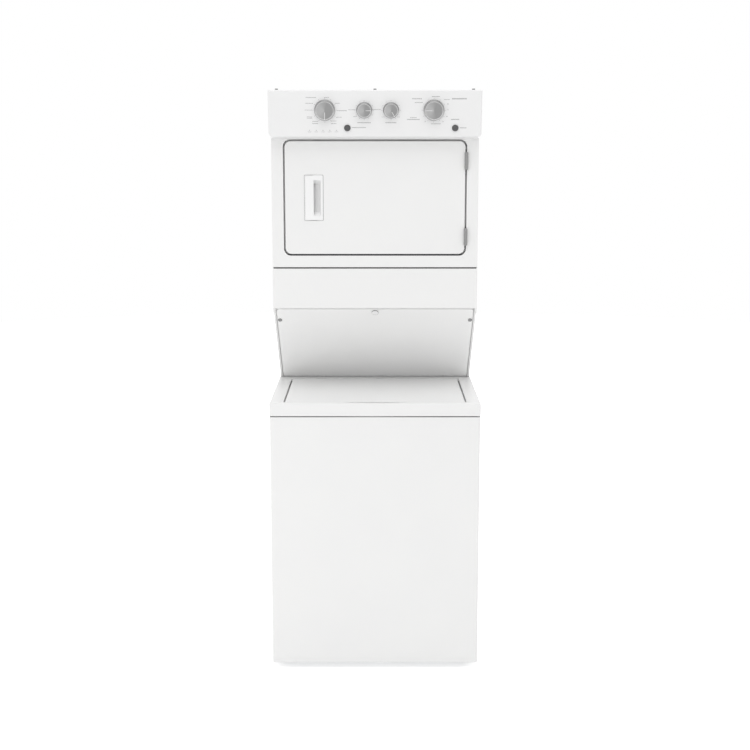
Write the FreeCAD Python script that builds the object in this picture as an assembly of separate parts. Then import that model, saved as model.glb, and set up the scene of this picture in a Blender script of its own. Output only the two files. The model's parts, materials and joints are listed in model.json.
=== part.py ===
"""Stacked laundry centre: top-loading washer below, front-loading dryer above, one console on top.

Millimetres, +X to the right, front towards -Y, +Z up. The origin is the middle of the footprint on the
floor. Each function returns one named sub-part, and the list at the end writes them all.
"""
import FreeCAD, Part
import math
import os

V = FreeCAD.Vector

# ---- driving dimensions: whole machine -----------------------------------------------------------
WASHER_FRONT = -410.0       # front face of the washer's top
WASHER_BACK = 280.0         # rear edge of the washer's side walls
FLOOR_GAP = 22.0            # cabinet's bottom edge above the floor
CABINET_TOP = 870.0
SEAM = 3.5                  # shadow gap between cabinet and top, and between the two dryer panels
DECK = 916.0                # washer's top surface
DRYER_FRONT = -223.0
DRYER_BASE = 1205.0
DRYER_TOP = 1806.0
DRYER_BACK = 350.0          # rear edge of the dryer's wrap
CONSOLE_TOP = 1922.0
WASHER_HALF = 346.0
TOP_HALF = 347.0
DRYER_HALF = 342.5
CONSOLE_HALF = 347.0
SHEET = 0.8                 # enamelled steel of the cabinets
PANEL = 1.0                 # enamelled steel of the fronts
PLATE = 1.5                 # stand, base pans and washer top
RUN = 0.06                  # radial clearance of every shaft, pin and stud in its hole

# ---- driving dimensions: washer ------------------------------------------------------------------
FOOT_X = 300.0
FOOT_YS = (-332.0, 230.0)
FOOT_PAD_R = 20.0
FOOT_STUD_R = 6.0
TUB_Y = -64.0               # vertical axis of tub, basket and agitator
TUB_R = 268.0
TUB_BOTTOM = 300.0
TUB_TOP = 850.0
BASKET_R = 245.0
BASKET_BOTTOM = 335.0
BASKET_TOP = 838.0
SPIN_TUBE_R = 22.0
POST_R = 12.0
ROD_X = 292.0
ROD_Y = 236.0               # rods stand this far in front of and behind the tub's axis
ROD_R = 4.0
ROD_HEAD_Z = 840.0
ROD_CAP_Z = 250.0
EAR_Z = 320.0
PULLEY_Z = (128.0, 144.0)
DRIVE_PULLEY_R = 75.0
WASH_MOTOR_PULLEY_R = 18.0
WASH_MOTOR_Y = TUB_Y + 150.0
LID_HALF = 295.5
LID_FRONT = -383.0
LID_BACK = 45.0
LID_THICK = 12.0
LID_PIN_R = 3.5
LID_AXIS_Y = LID_BACK - 6.0
LID_AXIS_Z = DECK - LID_THICK / 2
LID_SIDE_GAP = 6.0
LID_END_GAP = 3.0
RECESS_FLOOR = 900.0
LOCK = (260.0, -355.0)      # lid's tongue and the lock's slot, X and Y
PORT_X = 205.0
PORT_Y = (-335.0, 8.0)
VALVE_X = 32.0
VALVE_Z = 806.0
HOSE_THREAD_R = 13.2
DRAIN_HOLE = (230.0, 780.0)
DRAIN_HOLE_R = 17.0

# ---- driving dimensions: stand and backsplash ----------------------------------------------------
SLOPE_TOP = V(0, -221.0, DRYER_BASE)
SLOPE_FOOT = V(0, 90.0, DECK)
BACKSPLASH_HALF = 332.2
BACKSPLASH_S = (8.0, 421.0)  # its head and foot, measured down the slope from the slope's top
LEG_FACE = 335.4            # inner edge of the leg's front face
LEDGE = 7.0                 # the ledge that carries the backsplash lies this far behind that face
LEG_BACK = 330.0
LEG_FOOT = 600.0
SCREW_X = 324.0
SCREW_Z = 1159.0

# ---- driving dimensions: dryer -------------------------------------------------------------------
LOWER_PANEL_TOP = 1339.5
FRONT_DEPTH = 22.0          # depth of the two front panels' returns
DOOR_Z = 1573.5
RECESS_HALF_X = 304.0
RECESS_HALF_Z = 191.2
DOOR_GAP = 5.7
RECESS_DEPTH = 24.0
THROAT_X = 205.0
THROAT_Z = (1440.0, 1690.0)
THROAT_CORNER = 50.0
HINGE_X = 301.5
HINGE_Y = -229.3
HINGE_R = 6.0
HINGE_PIN_R = 2.5
HINGE_ZS = (1445.5, 1695.0)
HINGE_HALF = 29.0
HANDLE_X = (-233.7, -172.4)
HANDLE_Z = (1499.5, 1648.4)
DRUM_Z = 1520.0
DRUM_R = 268.0
DRUM_FRONT = -140.0
DRUM_BACK = 345.0
DRUM_SHAFT_R = 12.0
BULKHEAD_Y = -150.0
CORNER_X = 262.0            # motor, blower and exhaust lie in the corners below the drum
CORNER_Z = 1278.0
EXHAUST_R = 50.8
EXHAUST_END = 410.0
MOTOR_SHAFT_R = 6.0
MOTOR_PULLEY_R = 11.0
BELT_Y = (104.0, 118.0)
BELT_THICK = 2.0
BELT_GAP = 0.4
IDLER_PIVOT = (195.0, 1222.0)
IDLER_CENTRE = (140.0, 1238.6)
IDLER_R = 18.0
IDLER_PIN_R = 4.0
SCREEN_Y = (-170.0, -164.0)

# ---- driving dimensions: console -----------------------------------------------------------------
FACE_FOOT = V(0, -263.0, 1772.5)
FACE_HEAD = V(0, -282.0, CONSOLE_TOP)
CONSOLE_UNDER = 1765.0      # where the console's underside meets the dryer's front
CONSOLE_WALL = 2.5
KNOB_Z = 1857.5
BUTTON_Z = 1801.0
KNOBS = {                   # x, skirt radius, cap radius, pointer's clock angle in degrees
    "washer_cycle_knob": (-163.0, 34.0, 29.0, 180.0),
    "load_size_knob": (-35.0, 26.0, 22.0, 90.0),
    "temperature_knob": (52.0, 26.0, 22.0, 150.0),
    "dryer_timer_knob": (191.0, 34.0, 29.0, 270.0),
}
BUTTONS = {"washer_start_button": -90.0, "dryer_start_button": 261.0}
KNOB_SHAFT_R = 4.0
BUTTON_R = 10.25
CLIP_XS = (-318.7, 0.0, 318.7)


# ---- shape helpers -------------------------------------------------------------------------------
def box(x, y, z):
    """Block between (low, high) pairs on X, Y and Z."""
    return Part.makeBox(x[1] - x[0], y[1] - y[0], z[1] - z[0], V(x[0], y[0], z[0]))


def rod(start, end, radius):
    """Round bar between two points."""
    return Part.makeCylinder(radius, start.distanceToPoint(end), start, end - start)


def tube(start, end, outer, inner):
    """Round tube between two points."""
    return rod(start, end, outer).cut(rod(start, end, inner))


def prism_x(points, x):
    """Outline of (y, z) points pushed along X."""
    wire = Part.makePolygon([V(x[0], y, z) for y, z in points + points[:1]])
    return Part.Face(wire).extrude(V(x[1] - x[0], 0, 0))


def round_edges(shape, radius, choose):
    """Round the edges that the function chooses, given each one's middle and direction."""
    picked = []
    for edge in shape.Edges:
        if edge.Curve.TypeId == "Part::GeomLine":
            direction = edge.Curve.Direction
            if choose(edge.CenterOfMass, direction):
                picked.append(edge)
    return shape.makeFillet(radius, picked)


def rounded_y(x, y, z, radius):
    """Block whose four edges along Y are round."""
    return round_edges(box(x, y, z), radius, lambda middle, way: abs(way.y) > 0.99)


def rounded_z(x, y, z, radius):
    """Block whose four edges along Z are round."""
    return round_edges(box(x, y, z), radius, lambda middle, way: abs(way.z) > 0.99)


def spun(points, x, y):
    """Outline of (radius, z) points turned about a vertical axis."""
    wire = Part.makePolygon([V(x + r, y, z) for r, z in points + points[:1]])
    return Part.Face(wire).revolve(V(x, y, 0), V(0, 0, 1), 360)


def fused(shapes):
    """One solid from several that touch or overlap."""
    return shapes[0].multiFuse(shapes[1:]).removeSplitter()


def mirrored_x(shape):
    """The same piece on the other side."""
    return shape.mirror(V(0, 0, 0), V(1, 0, 0))


# ---- washer: cabinet and base --------------------------------------------------------------------
def washer_cabinet():
    """Front and both sides bent from one sheet, with flanges top and bottom and a gusset for each rod."""
    front = WASHER_FRONT + 1.5
    corner = 8.0
    flange = 20.0

    def front_corner(middle, way):
        return abs(way.z) > 0.99 and middle.y < 0

    outer = round_edges(box((-WASHER_HALF, WASHER_HALF), (front, WASHER_BACK), (FLOOR_GAP, CABINET_TOP)),
                        corner, front_corner)
    inside = WASHER_HALF - SHEET
    inner = round_edges(box((-inside, inside), (front + SHEET, WASHER_BACK + 1),
                            (FLOOR_GAP + SHEET, CABINET_TOP - SHEET)), corner - SHEET, front_corner)
    opening = box((flange - WASHER_HALF, WASHER_HALF - flange), (front + flange, WASHER_BACK + 1),
                  (FLOOR_GAP - 1, CABINET_TOP + 1))
    shell = outer.cut(inner).cut(opening)
    gussets = []
    for side in (-1, 1):
        for end in (-1, 1):
            y = TUB_Y + end * ROD_Y
            xs = sorted((side * (ROD_X - 22), side * inside))
            plate = box(xs, (y - 24, y + 24), (ROD_HEAD_Z - PLATE, ROD_HEAD_Z))
            hole = V(side * ROD_X, y, ROD_HEAD_Z - 5)
            gussets.append(plate.cut(rod(hole, hole + V(0, 0, 10), ROD_R + 2)))
    return fused([shell] + gussets)


def washer_rear_panel():
    """Flat back, with a hole for each hose thread and one for the drain hose."""
    y = (WASHER_BACK, WASHER_BACK + SHEET)
    panel = box((-WASHER_HALF, WASHER_HALF), y, (FLOOR_GAP, CABINET_TOP))
    for side in (-1, 1):
        panel = panel.cut(rod(V(side * VALVE_X, y[0] - 1, VALVE_Z), V(side * VALVE_X, y[1] + 1, VALVE_Z),
                              HOSE_THREAD_R + 1.3))
    x, z = DRAIN_HOLE
    return panel.cut(rod(V(x, y[0] - 1, z), V(x, y[1] + 1, z), DRAIN_HOLE_R))


def washer_base():
    """Base pan on the cabinet's bottom flange, with a threaded block for each foot."""
    bottom = FLOOR_GAP + SHEET
    half = WASHER_HALF - 4
    pan = box((-half, half), (WASHER_FRONT + 6, WASHER_BACK - 2), (bottom, bottom + PLATE))
    blocks = []
    for x in (-FOOT_X, FOOT_X):
        for y in FOOT_YS:
            blocks.append(box((x - 25, x + 25), (y - 25, y + 25), (bottom, bottom + 24)))
    base = fused([pan] + blocks)
    for x in (-FOOT_X, FOOT_X):
        for y in FOOT_YS:
            base = base.cut(rod(V(x, y, 0), V(x, y, 100), FOOT_STUD_R + RUN))
    return base


def foot(x, y):
    """Screw-in levelling foot: round pad, lock nut and stud."""
    pad = rod(V(x, y, 0), V(x, y, 9), FOOT_PAD_R)
    pad = pad.makeChamfer(2.0, [e for e in pad.Edges if e.Curve.TypeId == "Part::GeomCircle"])
    corners = [V(x + 11 * math.cos(math.radians(a)), y + 11 * math.sin(math.radians(a)), 11)
               for a in range(0, 361, 60)]
    nut = Part.Face(Part.makePolygon(corners)).extrude(V(0, 0, 6))
    return fused([pad, nut, rod(V(x, y, 8), V(x, y, 62), FOOT_STUD_R)])


def rear_feet():
    return Part.makeCompound([foot(-FOOT_X, FOOT_YS[1]), foot(FOOT_X, FOOT_YS[1])])


def inlet_valve():
    """Double water valve behind the back: body, two hose threads and two solenoids."""
    parts = [box((-55, 55), (240, WASHER_BACK), (VALVE_Z - 17, VALVE_Z + 17)),
             rod(V(0, 258, VALVE_Z - 45), V(0, 258, VALVE_Z - 10), 9.0)]
    bores = []
    for side in (-1, 1):
        x = side * VALVE_X
        parts.append(rod(V(x, 270, VALVE_Z), V(x, WASHER_BACK + 20, VALVE_Z), HOSE_THREAD_R))
        parts.append(rod(V(x, 258, VALVE_Z + 10), V(x, 258, VALVE_Z + 42), 15.0))
        bores.append(rod(V(x, 262, VALVE_Z), V(x, WASHER_BACK + 21, VALVE_Z), 9.0))
    body = fused(parts)
    for bore in bores:
        body = body.cut(bore)
    return body


# ---- washer: top and lid -------------------------------------------------------------------------
def washer_top():
    """Pressed top: skirt, recess that the lid lies in, port with a turned-down lip, hinge bushes."""
    back = WASHER_BACK + SHEET
    block = box((-TOP_HALF, TOP_HALF), (WASHER_FRONT, back), (CABINET_TOP + SEAM, DECK))
    block = round_edges(block, 6.0, lambda middle, way: abs(way.z) > 0.99 and middle.y < 0)
    block = block.makeFillet(5.0, [e for e in block.Edges
                                   if e.CenterOfMass.z > DECK - 0.01 and e.CenterOfMass.y < back - 1])
    inside = box((PLATE - TOP_HALF, TOP_HALF - PLATE), (WASHER_FRONT + PLATE, back - PLATE),
                 (CABINET_TOP - 1, DECK - PLATE))
    inside = round_edges(inside, 4.0, lambda middle, way: abs(way.z) > 0.99 and middle.y < 0)
    side = LID_HALF + LID_SIDE_GAP
    ends = (LID_FRONT - LID_END_GAP, LID_BACK + LID_END_GAP + 0.5)
    pan = box((-side - PLATE, side + PLATE), (ends[0] - PLATE, ends[1] + PLATE),
              (RECESS_FLOOR - PLATE, DECK - PLATE))
    lip = rounded_z((-PORT_X - PLATE, PORT_X + PLATE), (PORT_Y[0] - PLATE, PORT_Y[1] + PLATE),
                    (RECESS_FLOOR - 12, RECESS_FLOOR), 70 + PLATE)
    pieces = [block.cut(inside), pan, lip]
    for x in (-TOP_HALF + 1, TOP_HALF - 19):
        for y in (-300.0, 150.0):
            pieces.append(box((x, x + 18), (y, y + 40), (CABINET_TOP, DECK - 1)))
    bush_y = (LID_AXIS_Y - 9, LID_AXIS_Y + 9)
    for x in (-side - 14, side):
        pieces.append(box((x, x + 14), bush_y, (RECESS_FLOOR - PLATE, DECK - 1)))
    top = fused(pieces)
    top = top.cut(rounded_z((-side, side), ends, (RECESS_FLOOR, DECK + 5), 5.0))
    top = top.cut(rounded_z((-PORT_X, PORT_X), PORT_Y, (RECESS_FLOOR - 30, RECESS_FLOOR + 5), 70.0))
    top = top.cut(lock_slot((RECESS_FLOOR - 5, RECESS_FLOOR + 1)))
    top = top.cut(rod(V(-side - 11, LID_AXIS_Y, LID_AXIS_Z), V(side + 11, LID_AXIS_Y, LID_AXIS_Z),
                      LID_PIN_R + RUN))
    return top.cut(finger_scoop(ends[0]))


def finger_scoop(recess_front):
    """Shallow curved dip in the front rim, deepest at the lid's edge, where fingers lift the lid."""
    half_width = 131.0
    reach = 17.0
    depth = 7.0
    radius = (half_width ** 2 + reach ** 2) / (2 * reach)
    centre = V(0, recess_front - reach + radius, DECK - depth)
    cone = Part.makeCone(radius - reach, radius + reach * 0.15, depth * 1.15, centre, V(0, 0, 1))
    return cone.common(box((-200, 200), (recess_front - 30, recess_front + 4), (DECK - depth, DECK + 5)))


def lock_slot(z):
    """Slot that the lid's tongue drops into."""
    x, y = LOCK
    return box((x - 5, x + 5), (y - 9, y + 9), z)


def lid_lock():
    """Lid lock and switch under the recess, open above for the tongue."""
    x, y = LOCK
    case = box((x - 34, x + 20), (y - 19, y + 19), (RECESS_FLOOR - 30, RECESS_FLOOR - PLATE))
    return case.cut(lock_slot((RECESS_FLOOR - 27, RECESS_FLOOR)))


def washer_lid():
    """Shallow pan that turns on a pin at each end of its rear edge, with a tongue for the lock."""
    lid = box((-LID_HALF, LID_HALF), (LID_FRONT, LID_BACK), (DECK - LID_THICK, DECK))
    lid = round_edges(lid, 5.0, lambda middle, way: abs(way.z) > 0.99 and middle.y < -200)
    lid = lid.makeFillet(1.8, [e for e in lid.Edges if e.CenterOfMass.z > DECK - 0.01])
    rim = 3.0
    lid = lid.cut(box((rim - LID_HALF, LID_HALF - rim), (LID_FRONT + rim, LID_BACK - rim),
                      (DECK - LID_THICK - 1, DECK - PANEL)))
    ends = [box(sorted((s * (LID_HALF - 30), s * (LID_HALF - 1))), (LID_BACK - 14, LID_BACK - 1),
                (DECK - LID_THICK, DECK - 1)) for s in (-1, 1)]
    pins = []
    for side in (-1, 1):
        root = V(side * (LID_HALF - 8), LID_AXIS_Y, LID_AXIS_Z)
        pins.append(rod(root, root + V(side * 21, 0, 0), LID_PIN_R))
    x, y = LOCK
    tongue = box((x - 1.5, x + 1.5), (y - 5, y + 5), (RECESS_FLOOR - 17, DECK - 1))
    return fused([lid, tongue] + ends + pins)


# ---- washer: tub, basket, drive ------------------------------------------------------------------
def outer_tub():
    """Plastic tub with a bearing boss below and four ears that hang on the rods."""
    axis = [V(0, TUB_Y, z) for z in (TUB_BOTTOM - 15, TUB_BOTTOM, TUB_BOTTOM + 6, TUB_TOP)]
    wall = 4.0
    parts = [rod(axis[1], axis[3], TUB_R), rod(axis[0], axis[1], 48.0)]
    for side in (-1, 1):
        for end in (-1, 1):
            angle = math.degrees(math.atan2(end * ROD_Y, side * ROD_X))
            reach = math.hypot(ROD_X, ROD_Y)
            ear = box((TUB_R - 20, reach + 18), (-18, 18), (EAR_Z, EAR_Z + 12))
            ear = ear.cut(rod(V(reach, 0, 0), V(reach, 0, 900), ROD_R + 2))
            ear.rotate(V(0, 0, 0), V(0, 0, 1), angle)
            ear.translate(V(0, TUB_Y, 0))
            parts.append(ear)
    tub = fused(parts)
    tub = tub.cut(rod(axis[2], V(0, TUB_Y, TUB_TOP + 1), TUB_R - wall))
    return tub.cut(rod(V(0, TUB_Y, 0), V(0, TUB_Y, TUB_TOP), SPIN_TUBE_R + RUN))


def tub_ring():
    """Ring that snaps over the tub's rim and covers the gap down to the basket."""
    outline = [(212, 842), (214.5, 842), (214.5, TUB_TOP), (TUB_R + 0.6, TUB_TOP), (TUB_R + 0.6, 838),
               (TUB_R + 3, 838), (TUB_R + 3, TUB_TOP + 5), (212, TUB_TOP + 3)]
    return spun(outline, 0, TUB_Y)


def wash_basket():
    """Spinning basket with its spin tube, which runs in the tub's bearing."""
    floor_z = BASKET_BOTTOM + PANEL
    shell = tube(V(0, TUB_Y, BASKET_BOTTOM), V(0, TUB_Y, BASKET_TOP), BASKET_R, BASKET_R - SHEET)
    floor = rod(V(0, TUB_Y, BASKET_BOTTOM), V(0, TUB_Y, floor_z), BASKET_R)
    hub = Part.makeCone(60, 34, 15, V(0, TUB_Y, floor_z), V(0, 0, 1))
    spin = rod(V(0, TUB_Y, 262), V(0, TUB_Y, floor_z), SPIN_TUBE_R)
    basket = fused([shell, floor, hub, spin])
    return basket.cut(rod(V(0, TUB_Y, 0), V(0, TUB_Y, 500), POST_R + RUN))


def balance_ring():
    """Liquid-filled ring round the basket's mouth."""
    outer = BASKET_R - SHEET
    outline = [(216, 800), (220, 796), (outer, 796), (outer, BASKET_TOP), (222, BASKET_TOP),
               (217, BASKET_TOP - 2), (214, BASKET_TOP - 7)]
    return spun(outline, 0, TUB_Y)


def agitator():
    """Hollow moulding on its drive post: four vanes on the skirt and ribs up the column."""
    outer = [(0, 352), (165, 352), (166, 358), (112, 376), (64, 424), (46, 460), (37, 755), (30, 770),
             (0, 775)]
    inner = [(0, 345), (161, 345), (161, 354), (108, 371), (60, 420), (42, 458), (33, 752), (0, 760)]
    hollow = spun(inner, 0, TUB_Y)
    parts = [spun(outer, 0, TUB_Y)]
    vane = [(30, 360), (160, 354), (152, 392), (96, 440), (72, 500), (56, 560), (30, 560)]
    rib = [(30, 560), (50, 560), (44, 735), (30, 740)]
    for outline, count, thick in ((vane, 4, 9.0), (rib, 8, 5.0)):
        wire = Part.makePolygon([V(r, -thick / 2, z) for r, z in outline + outline[:1]])
        blade = Part.Face(wire).extrude(V(0, thick, 0))
        for i in range(count):
            turned = blade.copy()
            turned.rotate(V(0, 0, 0), V(0, 0, 1), 45 + i * 360 / count)
            turned.translate(V(0, TUB_Y, 0))
            parts.append(turned)
    body = fused(parts).cut(hollow)
    return fused([body, rod(V(0, TUB_Y, 200), V(0, TUB_Y, 765), POST_R)])


def gearcase():
    """Gearcase under the tub, bored for the spin tube, the post and the input shaft."""
    case = fused([rod(V(0, TUB_Y, 175), V(0, TUB_Y, TUB_BOTTOM - 15), 62.0),
                  rod(V(0, TUB_Y, 165), V(0, TUB_Y, 175), 30.0)])
    case = case.cut(rod(V(0, TUB_Y, 260), V(0, TUB_Y, 290), SPIN_TUBE_R + RUN))
    case = case.cut(rod(V(0, TUB_Y, 198), V(0, TUB_Y, 270), POST_R + RUN))
    return case.cut(rod(V(0, TUB_Y, 160), V(0, TUB_Y, 196), 10 + RUN))


def grooved_rim(r, z0, z1):
    """Outline of a flat groove between two flanges, from the axis below to the rim above."""
    return [(0, z0), (r + 6, z0), (r + 6, z0 + 2), (r, z0 + 3), (r, z1 - 3), (r + 6, z1 - 2), (r + 6, z1)]


def drive_pulley():
    """Grooved pulley on the gearcase's input shaft."""
    z0, z1 = PULLEY_Z
    r = DRIVE_PULLEY_R
    outline = grooved_rim(r, z0, z1) + [(20, z1), (20, z1 + 8), (10, z1 + 8), (10, 194), (0, 194)]
    pulley = spun(outline, 0, TUB_Y)
    for i in range(5):
        hole = rod(V(46, 0, 0), V(46, 0, 300), 13.0)
        hole.rotate(V(0, 0, 0), V(0, 0, 1), i * 72)
        hole.translate(V(0, TUB_Y, 0))
        pulley = pulley.cut(hole)
    return pulley


def wash_motor_pulley():
    """Small grooved pulley on the washer motor's shaft."""
    z0, z1 = PULLEY_Z
    r = WASH_MOTOR_PULLEY_R
    outline = grooved_rim(r, z0, z1) + [(MOTOR_SHAFT_R, z1), (MOTOR_SHAFT_R, 200), (0, 200)]
    return spun(outline, 0, WASH_MOTOR_Y)


def washer_motor():
    """Motor hung from the tub's floor, open below between core and shell."""
    foot_z, head_z = 180.0, 285.0
    motor = fused([rod(V(0, WASH_MOTOR_Y, foot_z), V(0, WASH_MOTOR_Y, head_z), 58.0),
                   rod(V(0, WASH_MOTOR_Y, head_z - 5), V(0, WASH_MOTOR_Y, TUB_BOTTOM), 40.0)])
    motor = motor.cut(tube(V(0, WASH_MOTOR_Y, foot_z - 1), V(0, WASH_MOTOR_Y, head_z - 10), 50.0, 32.0))
    return motor.cut(rod(V(0, WASH_MOTOR_Y, foot_z - 10), V(0, WASH_MOTOR_Y, 202), MOTOR_SHAFT_R + RUN))


def drain_pump():
    """Pump hung from the tub's floor, with its hose stub."""
    x, y = -150.0, -110.0
    return fused([rod(V(x, y, 215), V(x, y, 285), 42.0), rod(V(x, y, 280), V(x, y, TUB_BOTTOM), 28.0),
                  rod(V(x, y, 240), V(x, y + 85, 240), 12.0)])


def belt_loop(centre_a, radius_a, centre_b, radius_b, thick, depth):
    """Flat belt round two pulleys in the XY plane, from z = 0 up to depth."""
    def filled(extra):
        ra = radius_a + extra
        rb = radius_b + extra
        run = centre_b - centre_a
        lean = math.acos((ra - rb) / run.Length)
        way = math.atan2(run.y, run.x)
        corners = []
        for centre, radius, sign in ((centre_a, ra, 1), (centre_b, rb, 1), (centre_b, rb, -1),
                                     (centre_a, ra, -1)):
            angle = way + sign * lean
            corners.append(centre + V(radius * math.cos(angle), radius * math.sin(angle), 0))
        web = Part.Face(Part.makePolygon(corners + corners[:1])).extrude(V(0, 0, depth))
        rounds = [Part.makeCylinder(r, depth, c) for c, r in ((centre_a, ra), (centre_b, rb))]
        return fused([web] + rounds)
    return filled(thick).cut(filled(0))


def wash_belt():
    belt = belt_loop(V(0, TUB_Y, 0), DRIVE_PULLEY_R + BELT_GAP, V(0, WASH_MOTOR_Y, 0),
                     WASH_MOTOR_PULLEY_R + BELT_GAP, 4.0, 8.0)
    belt.translate(V(0, 0, PULLEY_Z[0] + 4))
    return belt


def suspension_rods():
    """Four rods with a head on the cabinet's gusset and a cap under the spring."""
    rods = []
    for side in (-1, 1):
        for end in (-1, 1):
            x, y = side * ROD_X, TUB_Y + end * ROD_Y
            rods.append(fused([rod(V(x, y, ROD_CAP_Z - 6), V(x, y, ROD_HEAD_Z + 8), ROD_R),
                               rod(V(x, y, ROD_HEAD_Z), V(x, y, ROD_HEAD_Z + 8), 11.0),
                               rod(V(x, y, ROD_CAP_Z - 6), V(x, y, ROD_CAP_Z), 14.0)]))
    return Part.makeCompound(rods)


def suspension_springs():
    """Coil spring on each rod, between its cap and the tub's ear."""
    wire_r = 1.5
    coil_r = 9.0
    low, high = ROD_CAP_Z + wire_r, EAR_Z - 0.3 - wire_r
    pitch = (high - low) / 6
    helix = Part.makeHelix(pitch, high - low, coil_r)
    profile = Part.Wire([Part.makeCircle(wire_r, V(coil_r, 0, 0), V(0, 1, 0))])
    coil = Part.Wire(helix).makePipeShell([profile], True, True)
    springs = []
    for side in (-1, 1):
        for end in (-1, 1):
            spring = coil.copy()
            spring.translate(V(side * ROD_X, TUB_Y + end * ROD_Y, low))
            springs.append(spring)
    return Part.makeCompound(springs)


# ---- stand and backsplash ------------------------------------------------------------------------
SLOPE = (SLOPE_FOOT - SLOPE_TOP).normalize()
INWARD = V(0, -SLOPE.z, SLOPE.y)        # square to the slope, pointing up and to the rear


def sloped_plate(x, offset, thick):
    """Plate that lies in the slope, its front face the given distance behind the slope's plane."""
    a = SLOPE_TOP + INWARD * offset
    b = SLOPE_FOOT + INWARD * offset
    c = b + INWARD * thick
    d = a + INWARD * thick
    return prism_x([(p.y, p.z) for p in (a, b, c, d)], x)


def dryer_stand():
    """Welded stand: two side plates that stand on the washer and bolt to its back, with cross rails."""
    x0, x1 = DRYER_HALF - PLATE, DRYER_HALF
    back = WASHER_BACK + SHEET
    outline = [(SLOPE_TOP.y, SLOPE_TOP.z), (SLOPE_FOOT.y, SLOPE_FOOT.z), (back, DECK), (back, LEG_FOOT),
               (LEG_BACK, LEG_FOOT), (DRYER_BACK, 960.0), (DRYER_BACK, DRYER_BASE)]
    wide = DRYER_HALF - 20
    front = fused([sloped_plate((LEG_FACE, x1), 0, PLATE),
                   sloped_plate((LEG_FACE, LEG_FACE + PLATE), 0, LEDGE + PLATE),
                   sloped_plate((318.0, LEG_FACE + PLATE), LEDGE, PLATE)])
    screw = slope_point(SCREW_X, SCREW_Z, LEDGE)
    front = front.cut(rod(screw - INWARD * 3, screw + INWARD * 3, 2.5))
    side = [prism_x(outline, (x0, x1)),
            front.common(box((0, 400), (-300, 120), (DECK, DRYER_BASE))),
            box((wide, x1), (SLOPE_FOOT.y + 26, back - 6), (DECK, DECK + PLATE)),
            box((wide, x1), (-178, DRYER_BACK), (DRYER_BASE - PLATE, DRYER_BASE)),
            box((x1 - 40, x1), (back, back + PLATE), (LEG_FOOT, DECK))]
    rails = []
    for y in ((-178.0, -148.0), (DRYER_BACK - 30, DRYER_BACK)):
        rail = box((-x1, x1), y, (DRYER_BASE - 30, DRYER_BASE))
        inside = box((-x1, x1), (y[0] + PLATE, y[1] - PLATE), (DRYER_BASE - 31, DRYER_BASE - PLATE))
        rails.append(rail.cut(inside))
    tie = box((-x1, x1), (back, back + PLATE), (LEG_FOOT, LEG_FOOT + 50))
    foot_y = SLOPE_FOOT.y + 7
    foot_rail = fused([box((-x1, x1), (foot_y, foot_y + PLATE), (DECK, DECK + 16)),
                       box((-x1, x1), (foot_y, foot_y + 20), (DECK, DECK + PLATE))])
    return fused(side + [mirrored_x(s) for s in side] + rails + [tie, foot_rail])


def backsplash_panel():
    """Sloped cover with rounded upper corners and turned edges, which lies on the stand's ledges."""
    half, (head, foot_end) = BACKSPLASH_HALF, BACKSPLASH_S

    def upper_corner(middle, way):
        return abs(way.z) > 0.99 and middle.y < head + 30

    block = round_edges(box((-half, half), (head, foot_end), (0.8, LEDGE)), 10.0, upper_corner)
    inside = box((PANEL - half, half - PANEL), (head + PANEL, foot_end - PANEL), (0.8 + PANEL, LEDGE + 1))
    panel = block.cut(round_edges(inside, 10.0 - PANEL, upper_corner))
    panel.Placement = FreeCAD.Placement(SLOPE_TOP, FreeCAD.Rotation(V(1, 0, 0), SLOPE, INWARD, "ZXY"))
    for side in (-1, 1):
        point = slope_point(side * SCREW_X, SCREW_Z, 0.8)
        panel = panel.cut(rod(point - INWARD * 5, point + INWARD * 5, 2.5))
    return panel


def slope_point(x, z, offset):
    """Point at height z, the given distance behind the slope's plane."""
    along = (z - SLOPE_TOP.z) / SLOPE.z
    point = SLOPE_TOP + SLOPE * along + INWARD * offset
    return V(x, point.y, point.z)


def trim_screws():
    """Two cap-headed screws in the backsplash and three clip heads along the console's top edge."""
    screws = []
    for side in (-1, 1):
        point = slope_point(side * SCREW_X, SCREW_Z, 0.8)
        screws.append(fused([rod(point - INWARD * 3, point, 7.0), rod(point, point + INWARD * 12, 2.5)]))
    for x in CLIP_XS:
        screws.append(fused([rod(V(x, -272, CONSOLE_TOP), V(x, -272, CONSOLE_TOP + 4), 5.0),
                             rod(V(x, -272, CONSOLE_TOP - 8), V(x, -272, CONSOLE_TOP), 2.0)]))
    return Part.makeCompound(screws)


def lid_catch():
    """Small round-headed tab at the top of the backsplash, which the opened lid rests against."""
    centre = slope_point(0, 1190.0, 0.8)
    tab = rod(centre - INWARD * 4, centre, 11.0)
    skirt = Part.makeBox(22, 8, 4, V(-11, 0, 0))
    turn = FreeCAD.Rotation(V(1, 0, 0), SLOPE, INWARD, "ZXY")
    skirt.Placement = FreeCAD.Placement(centre - INWARD * 4, turn)
    return fused([tab, skirt])


# ---- dryer: casing -------------------------------------------------------------------------------
def dryer_base_pan():
    """Floor of the dryer, with a turned-up rim and the idler's pivot bracket."""
    outer = box((-340, 340), (-199, DRYER_BACK), (DRYER_BASE, DRYER_BASE + 14))
    pan = outer.cut(box((-338, 338), (-197, DRYER_BACK - 2), (DRYER_BASE + PLATE, DRYER_BASE + 20)))
    x, z = IDLER_PIVOT
    bracket = box((x - 8, x + 8), (84, 88), (DRYER_BASE, z + 9))
    return fused([pan, bracket, rod(V(x, 86, z), V(x, 98, z), IDLER_PIN_R)])


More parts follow.
